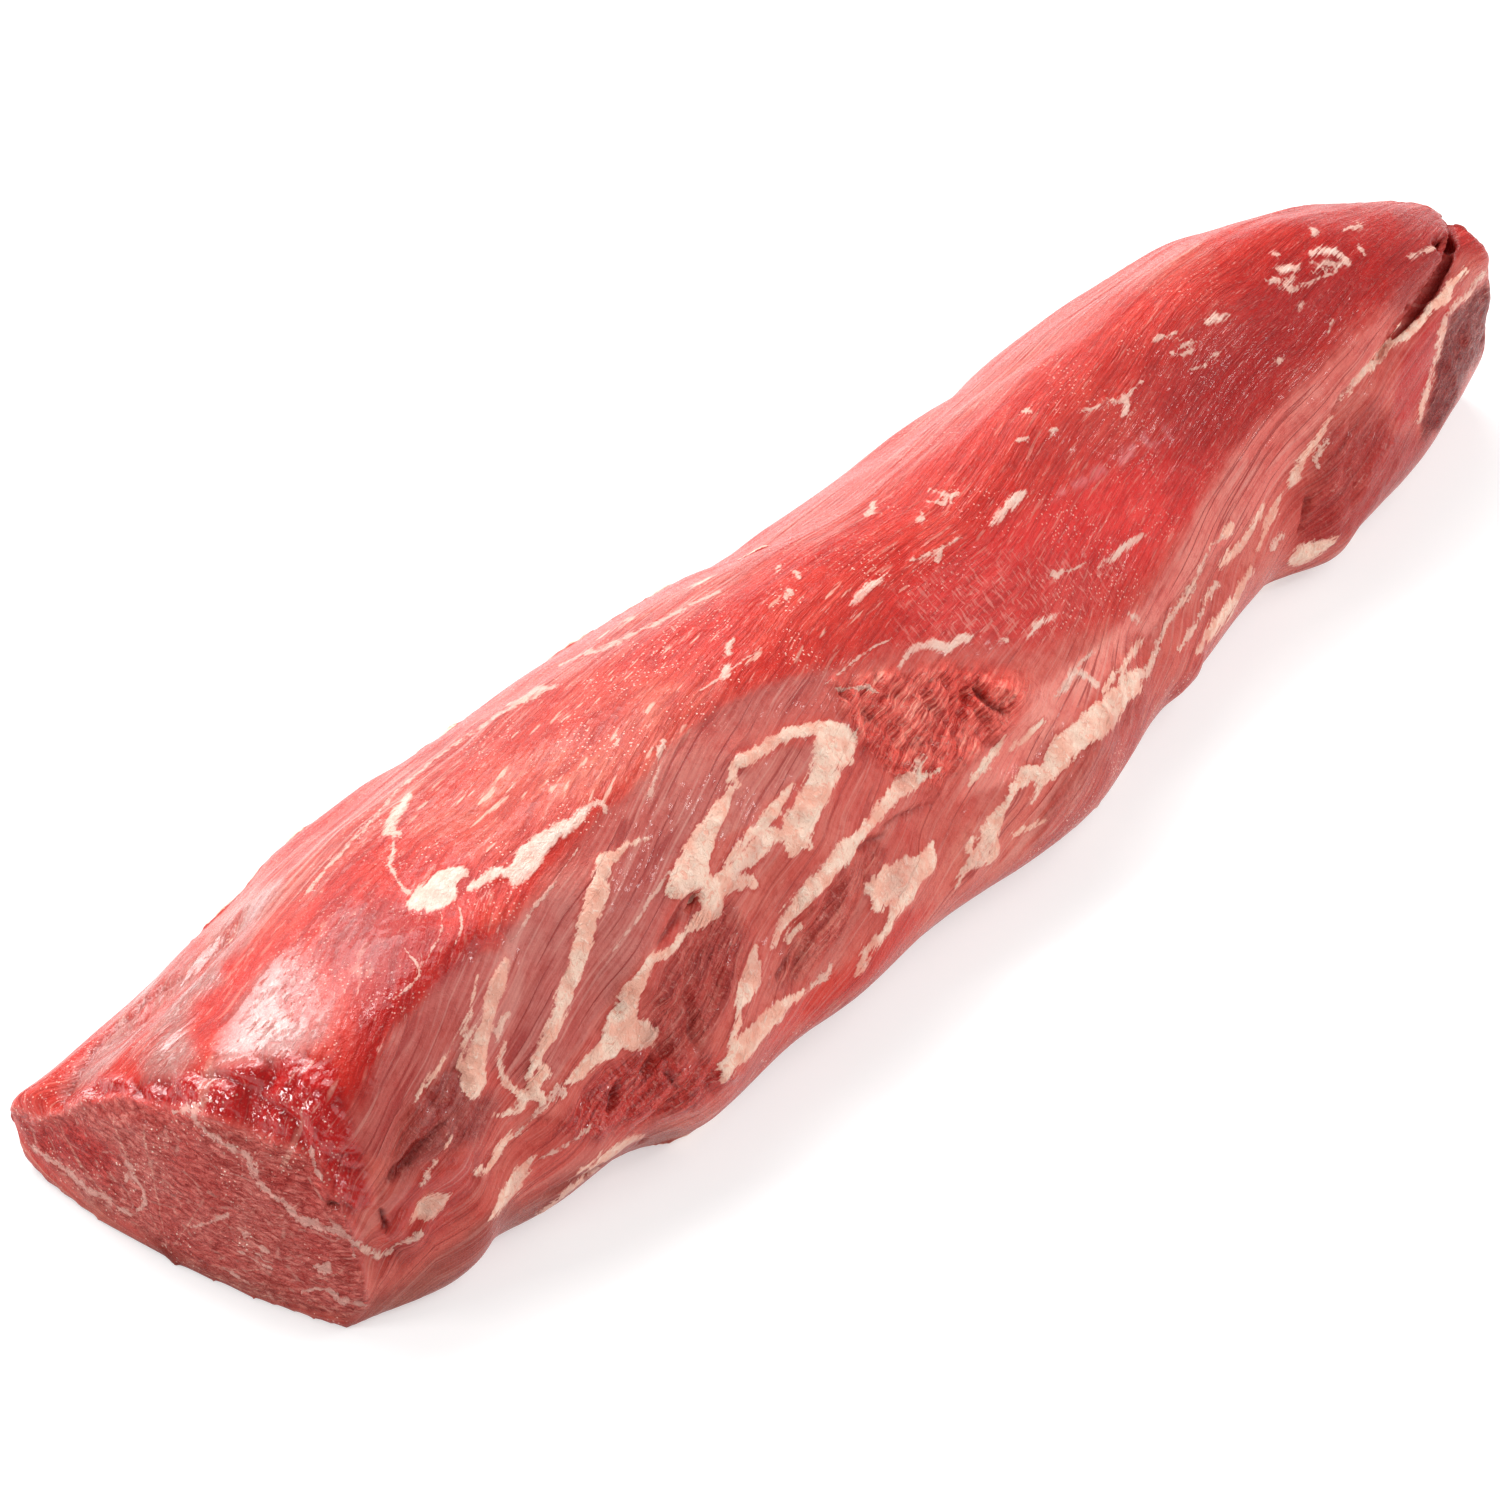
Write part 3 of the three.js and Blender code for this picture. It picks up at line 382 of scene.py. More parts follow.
# Zones of the meat: how soft the edge of each is, in pixels, and its outline in the picture.
ZONES = {
    "side": (16, [
        (345, 1125), (365, 1075), (390, 1036), (426, 998), (469, 958), (502, 948), (512, 929), (562, 866),
        (595, 826), (628, 799), (662, 756), (708, 720), (752, 693), (796, 678), (835, 670), (880, 655),
        (930, 640), (1000, 640), (1080, 640), (1128, 615), (1160, 575), (1198, 512), (1231, 458),
        (1263, 420), (1316, 374), (1399, 290), (1445, 255), (1520, 255), (1520, 700), (900, 1320),
        (350, 1340),
    ]),
    "near film": (7, [
        (350, 1118), (372, 1072), (390, 1036), (426, 998), (469, 958), (502, 950), (512, 929), (562, 866),
        (595, 826), (628, 799), (662, 756), (708, 720), (752, 693), (796, 678), (838, 670), (822, 690),
        (786, 712), (735, 740), (730, 760), (770, 780), (715, 825), (668, 868), (668, 900), (650, 952),
        (600, 1012), (556, 1078), (520, 1086), (462, 1052), (440, 1062), (408, 1105), (385, 1160),
        (352, 1150),
    ]),
    "loop film": (4, [(742, 776), (782, 750), (816, 742), (815, 770), (780, 792), (740, 830), (718, 838)]),
    "mid film": (8, [
        (890, 905), (950, 850), (1000, 800), (1070, 770), (1040, 830), (985, 880), (930, 930),
    ]),
    "far film": (7, [
        (1130, 630), (1160, 590), (1198, 516), (1231, 460), (1263, 421), (1316, 376), (1374, 324),
        (1398, 300), (1372, 362), (1343, 400), (1318, 425), (1292, 460), (1270, 500), (1240, 535),
        (1190, 580), (1150, 640),
    ]),
    "right film": (6, [
        (1035, 690), (1080, 660), (1140, 610), (1120, 660), (1060, 730), (1010, 780), (960, 800),
        (980, 740),
    ]),
    # A painted highlight: a paler band along the ridge.
    "painted ridge highlight": (20, [
        (560, 880), (600, 832), (664, 762), (712, 725), (760, 697), (838, 676), (790, 720), (700, 790),
        (610, 880),
    ]),
    "hollow": (9, [
        (404, 1128), (425, 1086), (446, 1064), (462, 1054), (470, 1090), (500, 1100), (480, 1140),
        (445, 1150), (425, 1160), (400, 1180), (385, 1180),
    ]),
    "striped flesh": (12, [
        (698, 912), (728, 900), (745, 935), (740, 985), (715, 1020), (690, 1060), (650, 1078), (648, 1020),
        (662, 975),
    ]),
    "band shade": (9, [
        (786, 950), (812, 905), (850, 868), (872, 842), (886, 852), (864, 896), (850, 930), (806, 975),
        (778, 985),
    ]),
    "right muscle": (9, [
        (1148, 672), (1146, 700), (1118, 745), (1075, 800), (1035, 842), (1050, 795), (1090, 745),
        (1122, 705),
    ]),
    "ground shade": (8, [
        (360, 1330), (372, 1300), (430, 1262), (492, 1215), (545, 1190), (600, 1158), (660, 1130),
        (690, 1130), (640, 1190), (540, 1240), (440, 1310),
    ]),
    "near low": (12, [
        (385, 1190), (420, 1165), (480, 1150), (500, 1160), (470, 1200), (420, 1250), (380, 1275),
    ]),
    "foot red": (10, [
        (600, 1075), (640, 1050), (690, 1060), (712, 1050), (735, 1075), (700, 1110), (640, 1130),
        (590, 1140), (560, 1130),
    ]),
    "low band": (9, [
        (735, 1085), (800, 1030), (880, 970), (960, 905), (1030, 850), (1080, 800), (1120, 745),
        (1150, 700), (1175, 680), (1215, 640), (1180, 710), (1130, 780), (1060, 860), (960, 935),
        (860, 1005), (760, 1085),
    ]),
    "low red": (8, [
        (800, 1000), (860, 950), (900, 920), (930, 900), (900, 950), (850, 990), (790, 1040), (765, 1060),
    ]),
    "far dark": (26, [
        (1330, 430), (1370, 400), (1395, 420), (1390, 470), (1350, 520), (1305, 560), (1300, 500),
    ]),
    "far facet": (5, [
        (1487, 280), (1498, 310), (1488, 345), (1472, 370), (1462, 395), (1448, 425), (1420, 440),
        (1428, 400), (1442, 345), (1452, 315), (1470, 295),
    ]),
    "far red": (5, [
        (1462, 292), (1452, 305), (1440, 330), (1425, 400), (1400, 430), (1395, 400), (1400, 360),
        (1420, 330),
    ]),
    "far low": (10, [(1335, 430), (1400, 440), (1440, 430), (1400, 500), (1340, 550), (1300, 560)]),
    "far top": (60, [
        (1150, 400), (1230, 270), (1330, 210), (1420, 200), (1490, 240), (1440, 265), (1399, 292),
        (1316, 372), (1231, 452), (1180, 480),
    ]),
    "slit side": (14, [(1395, 215), (1440, 215), (1475, 245), (1450, 290), (1400, 330), (1390, 270)]),
    "deep middle": (24, [
        (900, 600), (960, 555), (1040, 505), (1110, 470), (1180, 440), (1228, 458), (1196, 512),
        (1150, 565), (1060, 590), (1010, 600), (950, 628),
    ]),
    "violet": (4, [
        (1146, 430), (1160, 424), (1178, 434), (1174, 444), (1140, 451), (1110, 472), (1075, 493),
        (1050, 506), (1062, 490), (1100, 464), (1130, 445),
    ]),
    "dome red": (14, [
        (322, 905), (400, 896), (445, 940), (420, 985), (385, 1010), (362, 1052), (345, 1052), (352, 1010),
        (345, 975), (318, 945),
    ]),
    "saddle": (12, [
        (345, 1092), (368, 1005), (400, 960), (470, 930), (508, 925), (470, 960), (424, 1000), (388, 1038),
        (362, 1110),
    ]),
    "pale hump": (45, [
        (430, 830), (470, 790), (560, 730), (640, 690), (710, 690), (650, 760), (570, 820), (500, 850),
    ]),
    "back edge": (16, [
        (190, 940), (300, 850), (400, 765), (480, 715), (560, 660), (640, 605), (720, 570), (800, 515),
        (800, 535), (730, 590), (640, 640), (560, 690), (470, 755), (390, 830), (300, 900), (210, 965),
    ]),
    "back far edge": (16, [
        (800, 515), (900, 440), (1000, 355), (1100, 275), (1200, 240), (1210, 260), (1110, 305),
        (1010, 385), (930, 450), (850, 520), (800, 545),
    ]),
    "torn": (10, [
        (838, 676), (880, 664), (930, 668), (985, 668), (1035, 690), (1020, 725), (975, 750), (940, 790),
        (890, 775), (860, 745), (848, 710),
    ]),
    "cross fibres": (22, [
        (900, 600), (960, 560), (1050, 550), (1120, 560), (1100, 600), (1060, 640), (980, 645), (900, 640),
    ]),
    "speckled": (30, [
        (400, 800), (520, 720), (640, 640), (760, 600), (860, 560), (910, 590), (800, 660), (700, 720),
        (640, 790), (560, 850), (480, 880), (420, 860),
    ]),
    # Zones of painted sheen: over the near dome and along its edges, pale colour stands in for reflected
    # light.
    "dome veil": (16, [
        (233, 1027), (245, 1000), (263, 970), (294, 950), (318, 955), (332, 995), (318, 1030), (294, 1050),
        (257, 1055), (214, 1066),
    ]),
    "left veil": (12, [
        (214, 958), (190, 980), (168, 1004), (150, 1030), (138, 1052), (147, 1074), (178, 1072),
        (196, 1053), (186, 1028), (196, 1004), (222, 982),
    ]),
    "edge veil": (8, [
        (62, 1090), (90, 1050), (130, 1008), (180, 960), (240, 905), (285, 878), (250, 930), (190, 985),
        (140, 1030), (100, 1070),
    ]),
    "upper veil": (22, [(290, 960), (320, 920), (370, 900), (400, 920), (390, 970), (340, 990)]),
    "wet slope": (8, [
        (61, 1100), (95, 1078), (135, 1078), (190, 1074), (245, 1062), (288, 1050), (330, 1062),
        (350, 1106), (365, 1160), (372, 1205), (345, 1215), (328, 1190), (318, 1160), (290, 1150),
        (250, 1132), (214, 1117), (172, 1110), (120, 1094), (75, 1112),
    ]),
    "near face": (4, [
        (8, 1103), (40, 1116), (75, 1110), (120, 1094), (172, 1109), (214, 1118), (250, 1132), (290, 1150),
        (318, 1162), (328, 1190), (345, 1218), (356, 1245), (368, 1308), (345, 1318), (285, 1307),
        (200, 1272), (136, 1229), (84, 1198), (27, 1145),
    ]),
    "face left": (10, [(20, 1120), (75, 1120), (120, 1150), (110, 1185), (60, 1160), (28, 1140)]),
}

# Colours of the meat, linear red, green and blue, laid over each other in this order: zone, colour, share.
FLESH = (0.53, 0.024, 0.016)
COATS = [
    ("pale hump", (0.52, 0.074, 0.048), 0.8),
    ("deep middle", (0.70, 0.022, 0.019), 0.9),
    ("far top", (0.38, 0.006, 0.005), 0.95),
    ("back edge", (0.48, 0.072, 0.054), 0.7),
    ("back far edge", (0.50, 0.066, 0.046), 0.6),
    ("side", (0.58, 0.085, 0.064), 1.0),
    ("near film", (0.51, 0.100, 0.082), 1.0),
    ("loop film", (0.60, 0.165, 0.132), 1.0),
    ("mid film", (0.64, 0.132, 0.098), 0.9),
    ("far film", (0.71, 0.155, 0.125), 0.9),
    ("right film", (0.80, 0.195, 0.155), 0.9),
    # Painted highlight: the ridge is painted paler where light catches it.
    ("painted ridge highlight", (0.60, 0.120, 0.094), 0.6),
    ("dome red", (0.36, 0.010, 0.008), 0.8),
    ("saddle", (0.38, 0.008, 0.006), 0.95),
    ("cross fibres", (0.58, 0.034, 0.029), 0.7),
    ("torn", (0.84, 0.105, 0.078), 0.95),
    ("hollow", (0.31, 0.028, 0.022), 0.9),
    ("striped flesh", (0.44, 0.052, 0.040), 0.9),
    ("band shade", (0.50, 0.058, 0.043), 0.85),
    ("right muscle", (0.46, 0.062, 0.048), 0.8),
    ("ground shade", (0.30, 0.045, 0.032), 0.8),
    ("near low", (0.46, 0.032, 0.024), 0.9),
    ("foot red", (0.52, 0.026, 0.019), 0.9),
    ("low band", (0.46, 0.036, 0.026), 0.85),
    ("low red", (0.60, 0.034, 0.022), 0.9),
    ("far low", (0.38, 0.014, 0.011), 0.9),
    ("far dark", (0.38, 0.022, 0.017), 0.85),
    ("far red", (0.48, 0.022, 0.020), 0.95),
    ("far facet", (0.24, 0.009, 0.007), 0.95),
    ("slit side", (0.34, 0.020, 0.018), 0.8),
    ("violet", (0.68, 0.200, 0.205), 0.38),
    ("wet slope", (0.42, 0.002, 0.002), 0.95),
    ("near face", (0.50, 0.066, 0.054), 1.0),
    ("face left", (0.42, 0.012, 0.010), 0.8),
]
HIDDEN_SIDE = (0.37, 0.036, 0.028)
HIDDEN_FACE = (0.40, 0.046, 0.038)
RIM = (0.66, 0.070, 0.055)
GROUND_BROWN = (0.30, 0.052, 0.034)


def smooth(low, high, value):
    """A soft step: 0 at low, 1 at high. High may be the smaller of the two."""
    t = np.clip((value - low) / (high - low), 0, 1)
    return t * t * (3 - 2 * t)


def lattice(cells, seed):
    """A fixed random value from 0 to 1 for each whole-numbered cell."""
    x, y, z = (cells[:, k].astype(np.int64) for k in range(3))
    h = (x * 374761393 + y * 668265263 + z * 1440662683 + seed * 974634777) & 0xFFFFFFFF
    h = ((h ^ (h >> 13)) * 1274126177) & 0xFFFFFFFF
    h = ((h ^ (h >> 16)) * 2246822519) & 0xFFFFFFFF
    return ((h ^ (h >> 15)) & 0xFFFFFF) / 0xFFFFFF


def noise(places, size, seed, octaves=1):
    """Smooth random values from -1 to 1, in lumps about size across. Each further octave halves them."""
    total, share, sum_of_shares = np.zeros(len(places)), 1.0, 0.0
    for octave in range(octaves):
        scaled = places / np.asarray(size, float) * 2**octave
        cell = np.floor(scaled)
        t = scaled - cell
        t = t * t * t * (t * (6 * t - 15) + 10)
        value = np.zeros(len(places))
        for corner in np.ndindex(2, 2, 2):
            weight = np.prod(np.where(corner, t, 1 - t), axis=1)
            value += weight * lattice(cell + corner, seed + 17 * octave)
        total += share * (2 * value - 1)
        sum_of_shares += share
        share *= 0.5
    return total / sum_of_shares


def wander(places, size, seed, octaves=1):
    """Two independent noises side by side, to shift places in the picture by."""
    return np.column_stack([noise(places, size, seed, octaves), noise(places, size, seed + 1, octaves)])


def camera_back():
    """The direction from the target to the camera."""
    return np.array([math.sin(AZIMUTH) * math.cos(ELEVATION), -math.cos(AZIMUTH) * math.cos(ELEVATION),
                     math.sin(ELEVATION)])


def picture_places(points):
    """Where points of the frame lie in the picture, in pixels, and the direction of the camera from each."""
    back = camera_back()
    right = np.array([math.cos(AZIMUTH), math.sin(AZIMUTH), 0])
    up = np.cross(back, right)
    to_camera = CAMERA_TARGET + back * CAMERA_DISTANCE - points
    scale = LENS / SENSOR * PICTURE_WIDE / (to_camera @ back)
    across = PICTURE_WIDE / 2 - scale * (to_camera @ right)
    down = PICTURE_HIGH / 2 + scale * (to_camera @ up)
    return np.column_stack([across, down]), to_camera / np.linalg.norm(to_camera, axis=1)[:, None]


def line_depth(pixels, line, outside=12.0):
    """How far each place lies inside a line of varying width, in pixels. It is below 0 outside."""
    line = np.array(line, float)
    low, high = line[:, :2].min(axis=0) - 30, line[:, :2].max(axis=0) + 30
    near = np.flatnonzero(((pixels > low) & (pixels < high)).all(axis=1))
    depth = np.full(len(pixels), -outside)
    p, best = pixels[near], np.full(len(near), -outside)
    for start, end in zip(line, line[1:]):
        along = end[:2] - start[:2]
        t = np.clip((p - start[:2]) @ along / (along @ along), 0, 1)
        away = np.linalg.norm(p - start[:2] - t[:, None] * along, axis=1)
        best = np.maximum(best, (start[2] + t * (end[2] - start[2])) / 2 - away)
    depth[near] = best
    return depth


def deepest(pixels, lines):
    return np.max([line_depth(pixels, line) for line in lines.values()], axis=0)


def zone_depth(pixels, outline):
    """How far each place lies inside an outline, in pixels. It is below 0 outside."""
    outline = np.array(outline, float)
    inside = np.zeros(len(pixels), bool)
    nearest = np.full(len(pixels), 1e9)
    for start, end in zip(outline, np.roll(outline, -1, axis=0)):
        along = end - start
        t = np.clip((pixels - start) @ along / (along @ along), 0, 1)
        nearest = np.minimum(nearest, np.linalg.norm(pixels - start - t[:, None] * along, axis=1))
        crosses = (start[1] > pixels[:, 1]) != (end[1] > pixels[:, 1])
        if along[1]:
            inside ^= crosses & (pixels[:, 0] < start[0] + along[0] * (pixels[:, 1] - start[1]) / along[1])
    return np.where(inside, nearest, -nearest)


def thin_lines(pixels, lines):
    """The signed offset from the nearest line, where 1 is its edge, and how sure it is to be the nearest."""
    offset, nearness = np.full(len(pixels), 9.0), np.zeros(len(pixels))
    nearest = np.full(len(pixels), 12.0)
    for line in lines.values():
        line = np.array(line, float)
        low, high = line[:, :2].min(axis=0) - 14, line[:, :2].max(axis=0) + 14
        chosen = np.flatnonzero(((pixels > low) & (pixels < high)).all(axis=1))
        for start, end in zip(line, line[1:]):
            along = end[:2] - start[:2]
            length = np.hypot(*along)
            from_start = pixels[chosen] - start[:2]
            t = from_start @ along / length**2
            clipped = np.clip(t, 0, 1)
            away = np.linalg.norm(from_start - clipped[:, None] * along, axis=1)
            side = np.sign(along[0] * from_start[:, 1] - along[1] * from_start[:, 0])
            beyond = np.abs(t - clipped) * length
            closer = away < nearest[chosen]
            best = chosen[closer]
            nearest[best] = away[closer]
            half = (start[2] + clipped * (end[2] - start[2]))[closer] / 2
            offset[best] = np.clip(side[closer] * away[closer] / half, -9, 9)
            nearness[best] = smooth(9, 5, away[closer]) * smooth(4, 1, beyond[closer])
    return offset, nearness


def fine_copy(node):
    """A copy of the node as one even mesh of small squares."""
    piece = bpy.data.objects.new("fine copy", node.data.copy())
    bpy.context.scene.collection.objects.link(piece)
    remesh = piece.modifiers.new("even mesh", "REMESH")
    remesh.mode = "VOXEL"
    remesh.voxel_size = VOXEL
    evaluated = piece.evaluated_get(bpy.context.evaluated_depsgraph_get())
    mesh = bpy.data.meshes.new_from_object(evaluated)
    bpy.data.objects.remove(piece)
    mesh.name = "roast"
    return mesh


def read(mesh):
    """The mesh's points, its squares by point number and its edges by point number."""
    points = np.empty(len(mesh.vertices) * 3)
    mesh.vertices.foreach_get("co", points)
    corners = np.empty(len(mesh.loops), np.int64)
    mesh.loops.foreach_get("vertex_index", corners)
    edges = np.empty(len(mesh.edges) * 2, np.int64)
    mesh.edges.foreach_get("vertices", edges)
    return points.reshape(-1, 3), corners.reshape(-1, 4), edges.reshape(-1, 2)


def spread(values, edges):
    """The mean over each point's neighbours."""
    a, b = edges.T
    count = len(values)
    degree = np.bincount(a, minlength=count) + np.bincount(b, minlength=count)
    total = [np.bincount(a, v[b], count) + np.bincount(b, v[a], count) for v in values.T]
    return np.column_stack(total) / degree[:, None]


def smooth_out(points, edges):
    """Takes the facets out of the surface. Holes and slits stay open, and the size stays the same."""
    pixels, _ = picture_places(points)
    tears = {name: line for name, (_, line) in GROOVES.items() if any(word in name for word in TEAR_WORDS)}
    torn_open = smooth(-6, 2, deepest(pixels, tears))
    on_ground = points[:, 2] < 0.3 * MM
    before = points
    for turn in range(SMOOTH_ROUNDS):
        step = 0.5 * (1 - 0.85 * torn_open) if turn >= TEAR_ROUNDS else np.full(len(points), 0.5)
        moved = points + step[:, None] * (spread(points, edges) - points)
        moved[on_ground, 2] = points[on_ground, 2]
        points = moved
    lost = before - points
    for _ in range(REGAIN_ROUNDS):
        lost = spread(lost, edges)
    return points + lost


def normals_of(points, squares):
    a, b, c, d = (points[squares[:, k]] for k in range(4))
    facing = np.cross(c - a, d - b)
    total = np.column_stack([
        sum(np.bincount(squares[:, k], facing[:, axis], len(points)) for k in range(4)) for axis in range(3)
    ])
    return total / np.maximum(np.linalg.norm(total, axis=1), 1e-12)[:, None]


def fibre_places(place):
    """Places in millimetres that run along the muscle fibres in x, and round the roast in y and z."""
    x, y, z = place.T
    bins = np.arange(-190, 191, 10.0)
    index = np.clip(np.digitize(x, bins), 0, len(bins))
    size = np.maximum(np.bincount(index, minlength=len(bins) + 1), 1)
    middle_y = np.interp(x, bins, (np.bincount(index, y, len(bins) + 1) / size)[:-1])
    middle_z = np.interp(x, bins, (np.bincount(index, z, len(bins) + 1) / size)[:-1])
    angle = np.arctan2(z - middle_z, y - middle_y)
    slope = 0.15 - 0.18 * np.cos(angle)
    turned = angle + slope * x / ROLL_RADIUS
    return np.column_stack([x, ROLL_RADIUS * np.cos(turned), ROLL_RADIUS * np.sin(turned)]), angle


def make_zones(ragged, place, seen):
    """How much each place belongs to each zone, from 0 to 1. The soft edges wander most."""
    wavy = ragged + 8.0 * wander(place, 12, 52, 2)
    zone = {}
    for name, (softness, outline) in ZONES.items():
        edge = zone_depth(wavy if softness > 7 else ragged, outline)
        zone[name] = smooth(-softness, softness, edge) * seen
    zone["violet"] *= smooth(-0.15, 0.25, noise(place, 2.0, 51, 2))
    return zone


def random_fat(place, angle):
    """How far inside a random streak of fat each place lies, in mm, for the sides that don't show."""
    random = np.random.default_rng(7)
    fat = np.full(len(place), -3.0)
    for _ in range(HIDDEN_STREAKS):
        x, turn = random.uniform(-165, 150), random.uniform(-math.pi, math.pi)
        length, width = random.uniform(8, 44), random.uniform(0.8, 4.2)
        sway, lean = random.uniform(-2.5, 2.5), random.uniform(-0.12, 0.12)
        along = (place[:, 0] - x) / length
        across = np.angle(np.exp(1j * (angle - turn))) * ROLL_RADIUS
        across -= sway * np.sin(4 * along) + lean * (place[:, 0] - x)
        inside = width * (0.5 - 0.5 * (2 * along - 1) ** 2) - np.abs(across)
        fat = np.maximum(fat, np.where((along > -0.1) & (along < 1.1), inside, -3.0))
    return fat + 0.5 * noise(place, 2.2, 1, 2) + 0.4 * noise(place, 6, 5)


def most(*parts):
    return np.maximum.reduce(parts)


def roast():
    mesh = fine_copy(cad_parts["tenderloin"])
    points, squares, edges = read(mesh)
    points = smooth_out(points, edges)

    normals = normals_of(points, squares)
    pixels, to_camera = picture_places(points)
    facing = (normals * to_camera).sum(axis=1)
    seen = smooth(-0.02, 0.16, facing)
    hidden = 1 - seen
    place = points / MM
    fibre, angle = fibre_places(place)

    # Where things are: zones, cut ends, fat, threads, veins and grooves.
    drift = 2.2 * wander(place, 2.2, 1, 2) + 2.0 * wander(place, 7, 3)
    ragged = pixels + drift
    zone = make_zones(ragged, place, seen)
    near_end = smooth(-0.35, -0.6, normals[:, 0]) * smooth(-END_START, -END_FULL, place[:, 0])
    far_end = smooth(0.45, 0.65, normals[:, 0]) * smooth(END_START, END_FULL, place[:, 0])
    ends = near_end + far_end
    hidden_end = hidden * np.maximum(far_end, near_end)

    fade = EDGE_FADE * (1 - smooth(0.02, 0.2, facing))
    rim = smooth(-5, 4, deepest(ragged, FACE_RIM)) * seen
    side_fat = deepest(ragged, SIDE_FAT) - fade
    top_fat = deepest(ragged, TOP_FAT) - fade
    on_top = top_fat > side_fat
    hidden_fat = random_fat(place, angle) - 3 * ends - 6 * smooth(0.0, 0.35, seen)
    fat = most(side_fat * MM_A_PIXEL, top_fat * MM_A_PIXEL, hidden_fat)

    slim = {name: line for name, line in {**SIDE_FAT, **TOP_FAT}.items() if max(w for _, _, w in line) <= 6}
    thread, thread_near = thin_lines(pixels + 0.5 * drift, {**TOP_THREADS, **slim})
    vein, vein_near = thin_lines(pixels + 0.5 * drift, FACE_VEINS)
    thread_near, vein_near = (near * (fade < EDGE_FADE / 2) for near in (thread_near, vein_near))

    # Painted shade inside each groove and hole, deeper ones darker.
    groove, shade = np.zeros(len(points)), np.zeros(len(points))
    for deep, line in GROOVES.values():
        inside = line_depth(ragged, line) - fade
        groove = np.maximum(groove, deep * smooth(-2.5, 5.0, inside))
        shade = np.maximum(shade, smooth(-1.0, 3.5, inside) * min(1, 0.35 + deep / 2))

    # What each place is like, from 0 to 1.
    rough = most(zone["torn"], 0.8 * zone["striped flesh"], 0.7 * zone["band shade"],
                 0.8 * zone["foot red"], 0.5 * zone["hollow"], 0.5 * zone["far dark"],
                 0.4 * zone["right muscle"])
    film = most(zone["near film"], zone["loop film"], zone["mid film"], zone["far film"],
                zone["right film"], 0.6 * zone["side"]) * (1 - rough)
    hidden_film = hidden * smooth(-0.1, 0.3, noise(fibre, (90, 26, 26), 11, 2)) * (1 - ends)
    film = np.maximum(film, 0.85 * hidden_film) * (1 - zone["near face"])
    face = most(zone["near face"], hidden_end, zone["far facet"])
    side = np.maximum(zone["side"], hidden * (1 - 0.5 * smooth(0.2, 0.8, normals[:, 2])))
    gloss = most(zone["wet slope"], 0.3 * zone["saddle"], 0.8 * rim, 0.15 * zone["slit side"],
                 0.5 * zone["foot red"], 0.4 * zone["near low"], 0.2 * zone["hollow"])
    # Painted sheen: where the film over the near dome is painted pale, as if it reflected light.
    veil = most(zone["dome veil"], zone["left veil"], 0.8 * zone["edge veil"], 0.10 * zone["upper veil"])
    combed = most(zone["back edge"], zone["back far edge"], 0.8 * zone["edge veil"])
    dashes = most(zone["speckled"], 0.6 * zone["low band"], 0.30 * (1 - side) * (1 - zone["far top"]))

    # The small relief, in millimetres.
    lumps = noise(place, 5.0, 23, 2)
    crumbs = noise(place, 2.4, 24, 2)
    bundles = noise(fibre, (70, 9, 9), 21, 2)
    strands = noise(fibre, (26, 2.6, 2.6), 22, 2)
    billow = np.abs(noise(place, 4.6, 41, 2))
    wet_folds = np.abs(noise(place * (1, 0.35, 1), 5.6, 42, 2))
    low_folds = np.abs(noise(fibre * (0.45, 1, 1), 6.4, 43, 2))
    low_flesh = np.maximum(rough * (1 - zone["torn"]), 0.7 * zone["near low"])
    off_ground = smooth(1.0, 5.0, place[:, 2])
    fat_rise = smooth(-0.9, 1.1, fat) * (0.42 + 0.55 * crumbs + 0.30 * lumps) * np.where(on_top, 0.5, 1.0)

    height = (1 - face) * (0.40 * bundles + strands * (0.22 - 0.16 * film + 0.30 * rough))
    height += zone["torn"] * (2.8 * np.minimum(billow, 0.5) - 0.6 + 0.4 * crumbs)
    height += low_flesh * (5.6 * np.minimum(low_folds, 0.5) - 1.3 + 0.35 * lumps + 0.40 * crumbs)
    height += face * off_ground * (0.45 * noise(place * (0.5, 0.5, 1), 2.0, 25, 2) + 0.35 * lumps)
    height += zone["wet slope"] * (4.4 * np.minimum(wet_folds, 0.45) - 0.9 + 0.15 * noise(place, 2.4, 27))
    height += veil * 0.14 * noise(place, 2.6, 28, 2) + rim * (0.5 + 0.9 * crumbs)
    height += fat_rise - groove
    height *= smooth(0.0, 2.0, place[:, 2] + 2 * (normals[:, 2] > -0.5))
    points = points + normals * height[:, None] * MM
    points[:, 2] = np.maximum(points[:, 2], 0)
    mesh.vertices.foreach_set("co", points.ravel())

    # Painted shade in the creases of the torn, wet and rough flesh.
    shade = most(shade, 0.55 * smooth(0.10, 0.0, billow) * zone["torn"],
                 0.40 * smooth(0.07, 0.0, wet_folds) * zone["wet slope"],
                 0.65 * smooth(0.09, 0.0, low_folds) * low_flesh)

    # The colour of the flesh under its streaks.
    ground = 1 - smooth(0.5, 7.0, place[:, 2] + 2 * noise(place, 8, 31))
    layers = [(HIDDEN_SIDE, 0.9 * hidden * (1 - ends) * side)]
    layers += [(colour, share * zone[name]) for name, colour, share in COATS]
    layers += [(RIM, 0.6 * rim), (HIDDEN_FACE, hidden_end), (GROUND_BROWN, 0.6 * ground)]
    tint = np.tile(FLESH, (len(points), 1))
    for colour, share in layers:
        tint += share[:, None] * (np.array(colour) - tint)

